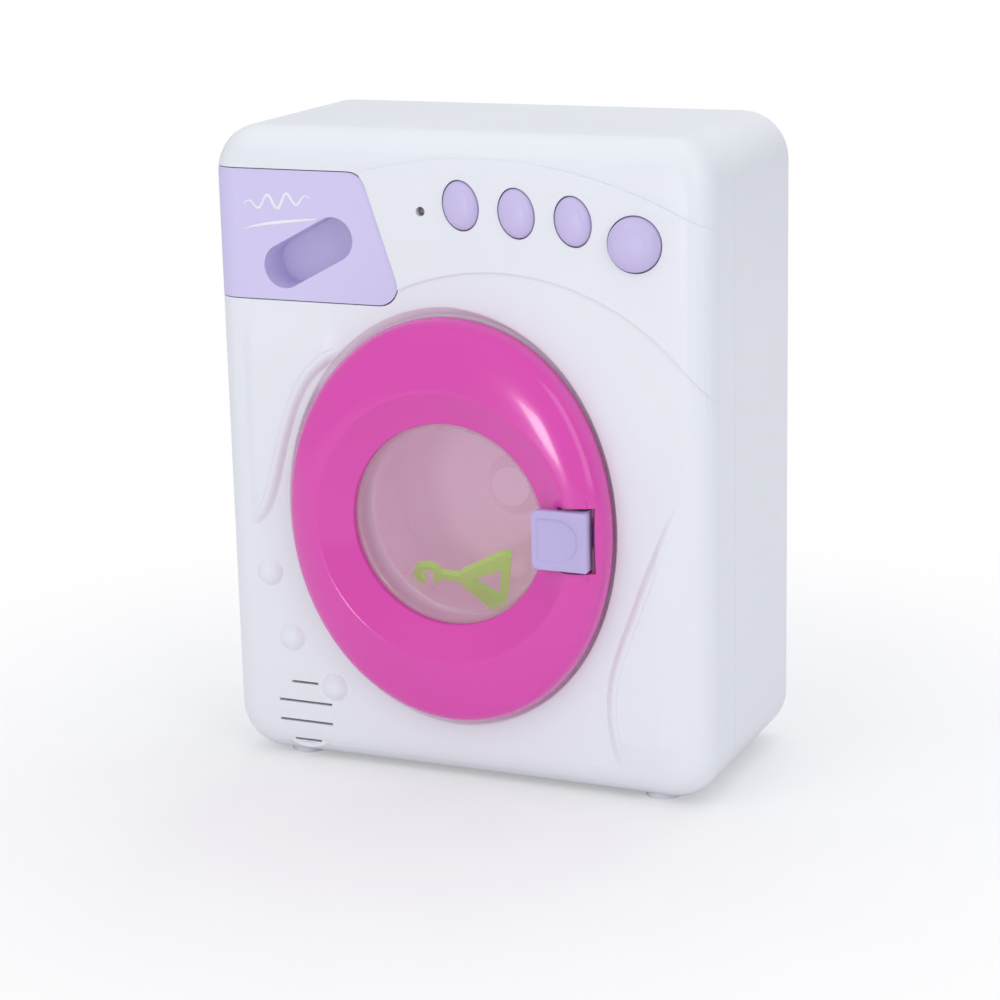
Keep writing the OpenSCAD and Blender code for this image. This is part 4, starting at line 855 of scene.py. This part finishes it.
def along_curve(curve, z):
    """Sideways place and slope of a curve at one height, smoothed between its points."""
    z = min(max(z, curve[0][0]), curve[-1][0])
    last = len(curve) - 1
    i = max(k for k in range(last) if curve[k][0] <= z)
    (z0, x0), (z1, x1) = curve[i], curve[i + 1]
    zb, xb = curve[max(i - 1, 0)]
    za, xa = curve[min(i + 2, last)]
    lead_in = (x1 - xb)/(z1 - zb)*(z1 - z0)
    lead_out = (xa - x0)/(za - z0)*(z1 - z0)
    t = (z - z0)/(z1 - z0)
    x = ((2*t**3 - 3*t**2 + 1)*x0 + (t**3 - 2*t**2 + t)*lead_in
         + (3*t**2 - 2*t**3)*x1 + (t**3 - t**2)*lead_out)
    slope = ((6*t*t - 6*t)*x0 + (3*t*t - 4*t + 1)*lead_in
             + (6*t - 6*t*t)*x1 + (3*t*t - 2*t)*lead_out)/(z1 - z0)
    return x, slope

def beyond(x, z, curve, side):
    """Distance from a curve, more than nothing on its raised side."""
    place, slope = along_curve(curve, z)
    return side*(x - place)/math.sqrt(1 + slope*slope)

def step_height(x, z, curve, side):
    """A quarter wave up to the step's full height, with a faint crease along its top."""
    away = beyond(x, z, curve, side)
    if away <= 0:
        return 0.0
    if away < STEP_W:
        return STEP_H*math.sin(math.pi/2*away/STEP_W)
    crease = min(abs(away - STEP_W - CREASE_HALF)/CREASE_HALF, 1.0)
    return STEP_H - CREASE_DEEP*(1 + math.cos(math.pi*crease))/2

def clamped(value):
    return min(max(value, 0.0), 1.0)

def gentle(value):
    value = clamped(value)
    return value*value*(3 - 2*value)

def left_height(x, z):
    fade = gentle((x + 79.2)/5)*gentle((162 - z)/17)*gentle((LEFT_PATCH[1] - x)/9)
    return step_height(x, z, LEFT_CURVE, -1)*fade

def right_height(x, z):
    fade = clamped((RIGHT_PATCH[1] - x)/8)*clamped((z - RIGHT_PATCH[2])/10)
    return step_height(x, z, RIGHT_CURVE, 1)*fade

def net(bm, faces, axis, cuts):
    """Cuts faces at every given place along an axis, halving the list so each face is met once."""
    if not cuts or not faces:
        return faces
    half = len(cuts)//2
    point, normal = [0, 0, 0], [0, 0, 0]
    point[axis], normal[axis] = cuts[half], 1
    done = cut_across(bm, faces, point, normal)["geom"]
    faces = [g for g in done if isinstance(g, bmesh.types.BMFace)]
    below = [f for f in faces if f.calc_center_median()[axis] < cuts[half]]
    above = [f for f in faces if f.calc_center_median()[axis] >= cuts[half]]
    return net(bm, below, axis, cuts[:half]) + net(bm, above, axis, cuts[half + 1:])

def flat_front(bm, left, right, low, high):
    """The faces that lie flat on the front and reach into a window of it."""
    found = []
    for f in bm.faces:
        if f.normal.y < -0.999 and all(abs(v.co.y - FACE) < 0.01 for v in f.verts):
            xs, zs = [v.co.x for v in f.verts], [v.co.z for v in f.verts]
            if min(xs) < right and max(xs) > left and min(zs) < high and max(zs) > low:
                found.append(f)
    return found

def places(low, high, pitch):
    count = round((high - low)/pitch)
    return [low + (high - low)*i/count for i in range(1, count)]

def fine_net(bm, patch, curve, side):
    """Cuts a patch of the front into a coarse net, and into a fine one along its curve."""
    left, right, low, high = patch
    window = (left + 0.01, right - 0.01, low + 0.01, high - 0.01)

    def near_curve(face):
        middle = face.calc_center_median()
        return -1.2 < beyond(middle.x, middle.z, curve, side) < STEP_W + 2.4

    for axis, place in ((0, left), (0, right), (2, low), (2, high)):
        net(bm, flat_front(bm, *window), axis, [place])
    inside = net(bm, flat_front(bm, *window), 0, places(left, right, COARSE))
    inside = net(bm, inside, 2, places(low, high, COARSE))
    near = [f for f in inside if near_curve(f)]
    rest = [f for f in inside if not near_curve(f)]
    near = net(bm, near, 0, places(left, right, FINE))
    return rest + net(bm, near, 2, places(low, high, FINE))

def lift(faces, height):
    for vert in {v for f in faces for v in f.verts}:
        if abs(vert.co.y - FACE) < 0.01:
            vert.co.y -= height(vert.co.x, vert.co.z)

def outer_rim(bm, side):
    """Edges at the seam that belong to the outside of a shell."""
    rim = set()
    for edge in bm.edges:
        if all(abs(v.co.y - SEAM_Y) < 0.01 for v in edge.verts):
            for f in edge.link_faces:
                middle = f.calc_center_median()
                out = f.normal.dot(Vector((middle.x, 0, middle.z - BODY_MIDDLE)))
                if abs(f.normal.y) < 0.3 and out > 0 and side*(middle.y - SEAM_Y) > 0:
                    rim.add(edge)
    return rim

def ease_seam(bm, side):
    """Breaks the outer edge where the two shells meet, which leaves a fine line round the case."""
    rim, chains = outer_rim(bm, side), []
    while rim:
        chain, queue = [], [rim.pop()]
        while queue:
            chain.append(queue.pop())
            near = {e for v in chain[-1].verts for e in v.link_edges} & rim
            rim -= near
            queue += near
        chains.append(chain)
    seam = max(chains, key=lambda chain: sum(e.calc_length() for e in chain))
    print("seam length:", round(sum(e.calc_length() for e in seam)), "mm in", len(seam), "edges")
    bmesh.ops.bevel(bm, geom=seam, offset=SEAM_BREAK, segments=2, profile=0.5, affect="EDGES")

def make_front_shell():
    bm = copy_of("front_shell")
    bmesh.ops.recalc_face_normals(bm, faces=bm.faces)
    ease_seam(bm, -1)
    lift(fine_net(bm, LEFT_PATCH, LEFT_CURVE, -1), left_height)
    lift(fine_net(bm, RIGHT_PATCH, RIGHT_CURVE, 1), right_height)
    shell = off_the_bench(bm, "front_shell_moulding", "case", white_plastic,
                          ["front_shell"], smooth=28, turn=False)
    even_shading(shell)

make_front_shell()

# %% [markdown]
# ## The door's seat
# The door closes into a sunken seat. Its side is a rolled slope, wide above and beside the hinge
# and narrow beside the latch, and its floor follows the raked back of the door. By the hinge the
# floor stays deep, because the door's edge turns inwards there when it opens. The seat is laid up
# from loops round the door, each at its own distance from the door's edge and its own depth.

# %% Seat rim
SEAT_POINTS = 192

# Going inwards: growth past the lip's edge and how far it sinks below the shell's own surface.
LIP = [(0.45, 0.0), (0.2, 0.05), (0.0, 0.17), (-0.25, 0.4)]

# Then down the side: growth past the door's edge, the least gap to the lip, and rise off the floor.
LINER = [(0.62, 0.3, -0.22), (0.45, 0.38, -0.06), (0.1, 0.5, 0.0)]

def seat_point(angle, grow, slim=1.0):
    x = DOOR[0] + (DOOR_HALF[0] + grow)*math.cos(angle)
    z = DOOR[1] + (DOOR_HALF[1] + grow)*math.sin(angle)
    return x - slim*slimmer(x, z), z

def seat_floor(x, z):
    share = max(gentle((x + 52)/22), gentle((abs(z - DOOR[1]) - 34)/12))
    return SEAT_FLOOR - 0.03 + share*(FACE + 0.25 + raked(x) - SEAT_FLOOR)

def shell_top(x, z):
    return FACE - 0.04 - left_height(x, z) - right_height(x, z)

def seat_section(angle):
    """Points of the seat's section in one direction, from the shell inwards."""
    edge = SEAT_EDGE - 0.25 - 2.05*max(math.cos(angle), 0.0)**0.8
    x, z = seat_point(angle, SEAT_EDGE + 0.4, 0.0)
    section = [(x, shell_top(x, z), z)]
    for grow, sink in LIP:
        x, z = seat_point(angle, edge + grow)
        section.append((x, shell_top(x, z) + sink, z))
    for widest, gap, rise in LINER:
        x, z = seat_point(angle, min(widest, edge - gap))
        section.append((x, seat_floor(x, z) + rise, z))
    x, z = seat_point(angle, -2.4)
    section.append((x, seat_floor(x, z), z))
    x, z = seat_point(angle, -2.5)
    return section + [(x, SEAT_FLOOR + 0.1, z)]

def make_seat():
    bm = bmesh.new()
    sections = [seat_section(2*math.pi*i/SEAT_POINTS) for i in range(SEAT_POINTS)]
    loops = [[bm.verts.new(point) for point in loop] for loop in zip(*sections)]
    skin_over(bm, loops, ends=False)
    bmesh.ops.recalc_face_normals(bm, faces=bm.faces)
    if sum(f.normal.y*f.calc_area() for f in bm.faces) > 0:
        bmesh.ops.reverse_faces(bm, faces=bm.faces)
    off_the_bench(bm, "seat_rim", "case", white_plastic, turn=False,
                  smooth=50, weld=0)

make_seat()

# %% [markdown]
# ## The back half and the drawer
# These forms are right already, but they arrive as flat facets. Joined up and shaded smooth, with
# only their real corners left sharp, they read as mouldings. The hanger is cut from flat sheet in
# the construction model; the moulded one has rolled edges.

# %% Smooth copies
def smooth_copy(name, body, finish, roll=0.0, seam=False):
    bm = copy_of(name)
    if seam:
        bmesh.ops.recalc_face_normals(bm, faces=bm.faces)
        ease_seam(bm, 1)
    copy = off_the_bench(bm, name + "_moulding", body, finish, [name], smooth=28, turn=False)
    if roll:
        rounded(copy, roll)
    even_shading(copy)
    return copy

smooth_copy("rear_shell", "case", white_plastic, seam=True)
smooth_copy("drawer_front", "drawer", drawer_lilac_painted_lighter)
smooth_copy("doll_hanger", "drum", lime_plastic, roll=0.5)

# %% [markdown]
# ## Rubber domes
# A button presses a small rubber dome, and the dome folds under it; rubber really buckles into a
# ring. Here each dome is a smooth copy of its node with a mesh of its own, and it keeps its shape.
# A dome is only seen inside.

domes = []
for number, button in enumerate(("button_1", "button_2", "button_3", "start_button"), 1):
    dome = smooth_copy(f"switch_dome_{number}", "case", dome_rubber)
    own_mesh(dome)
    domes.append(dome)
print("domes:", [(d.name, len(d.data.polygons)) for d in domes])

# %% [markdown]
# ## The mark on the drawer
# The drawer carries a small pad print. A silicone pad lays a film of ink on the plastic, far
# thinner than a hair. Lettering isn't copied here; a plain wave over a long stroke stands in its
# place. Each stroke is a ribbon: points along a path, set apart by a width that swells and thins.

# %% Printed wave
WAVE_STEPS, WAVE_TURNS, STROKE_STEPS = 72, 3.5, 32
PRINT_Y, FILM = FACE - 0.03, 0.03

ink = moulded("ink", paint(238, 236, 244), rough=0.45, peel=0.001)

def ribbon(bm, path, widths):
    edges = []
    for i, (x, z) in enumerate(path):
        (xa, za), (xb, zb) = path[max(i - 1, 0)], path[min(i + 1, len(path) - 1)]
        long = math.hypot(xb - xa, zb - za)
        nx, nz = -(zb - za)/long*widths[i]/2, (xb - xa)/long*widths[i]/2
        edges.append([bm.verts.new((x + side*nx, PRINT_Y, z + side*nz)) for side in (1, -1)])
    for (a, b), (c, d) in zip(edges, edges[1:]):
        bmesh.ops.contextual_create(bm, geom=[a, b, d, c])

def make_print():
    bm = bmesh.new()
    wave, stroke, wave_widths, stroke_widths = [], [], [], []
    for i in range(WAVE_STEPS + 1):
        t = i/WAVE_STEPS
        swell = math.sin(math.pi*t)
        ripple = (0.6 + 1.9*swell)*math.sin(2*math.pi*WAVE_TURNS*t)
        wave.append((-76.0 + 25.5*t, 196.2 + 2.6*t + ripple))
        wave_widths.append(0.35 + 0.75*swell)
    for i in range(STROKE_STEPS + 1):
        t = i/STROKE_STEPS
        stroke.append((-76.3 + 27.6*t, 187.4 + 4.6*t**0.6))
        stroke_widths.append(0.3 + 0.95*math.sin(math.pi*t))
    ribbon(bm, wave, wave_widths)
    ribbon(bm, stroke, stroke_widths)
    bmesh.ops.recalc_face_normals(bm, faces=bm.faces)
    if sum(f.normal.y for f in bm.faces) > 0:
        bmesh.ops.reverse_faces(bm, faces=bm.faces)
    mark = off_the_bench(bm, "drawer_print", "drawer", ink, turn=False, weld=0)
    mark.modifiers.new("film", "SOLIDIFY").thickness = FILM/PER_METRE

make_print()
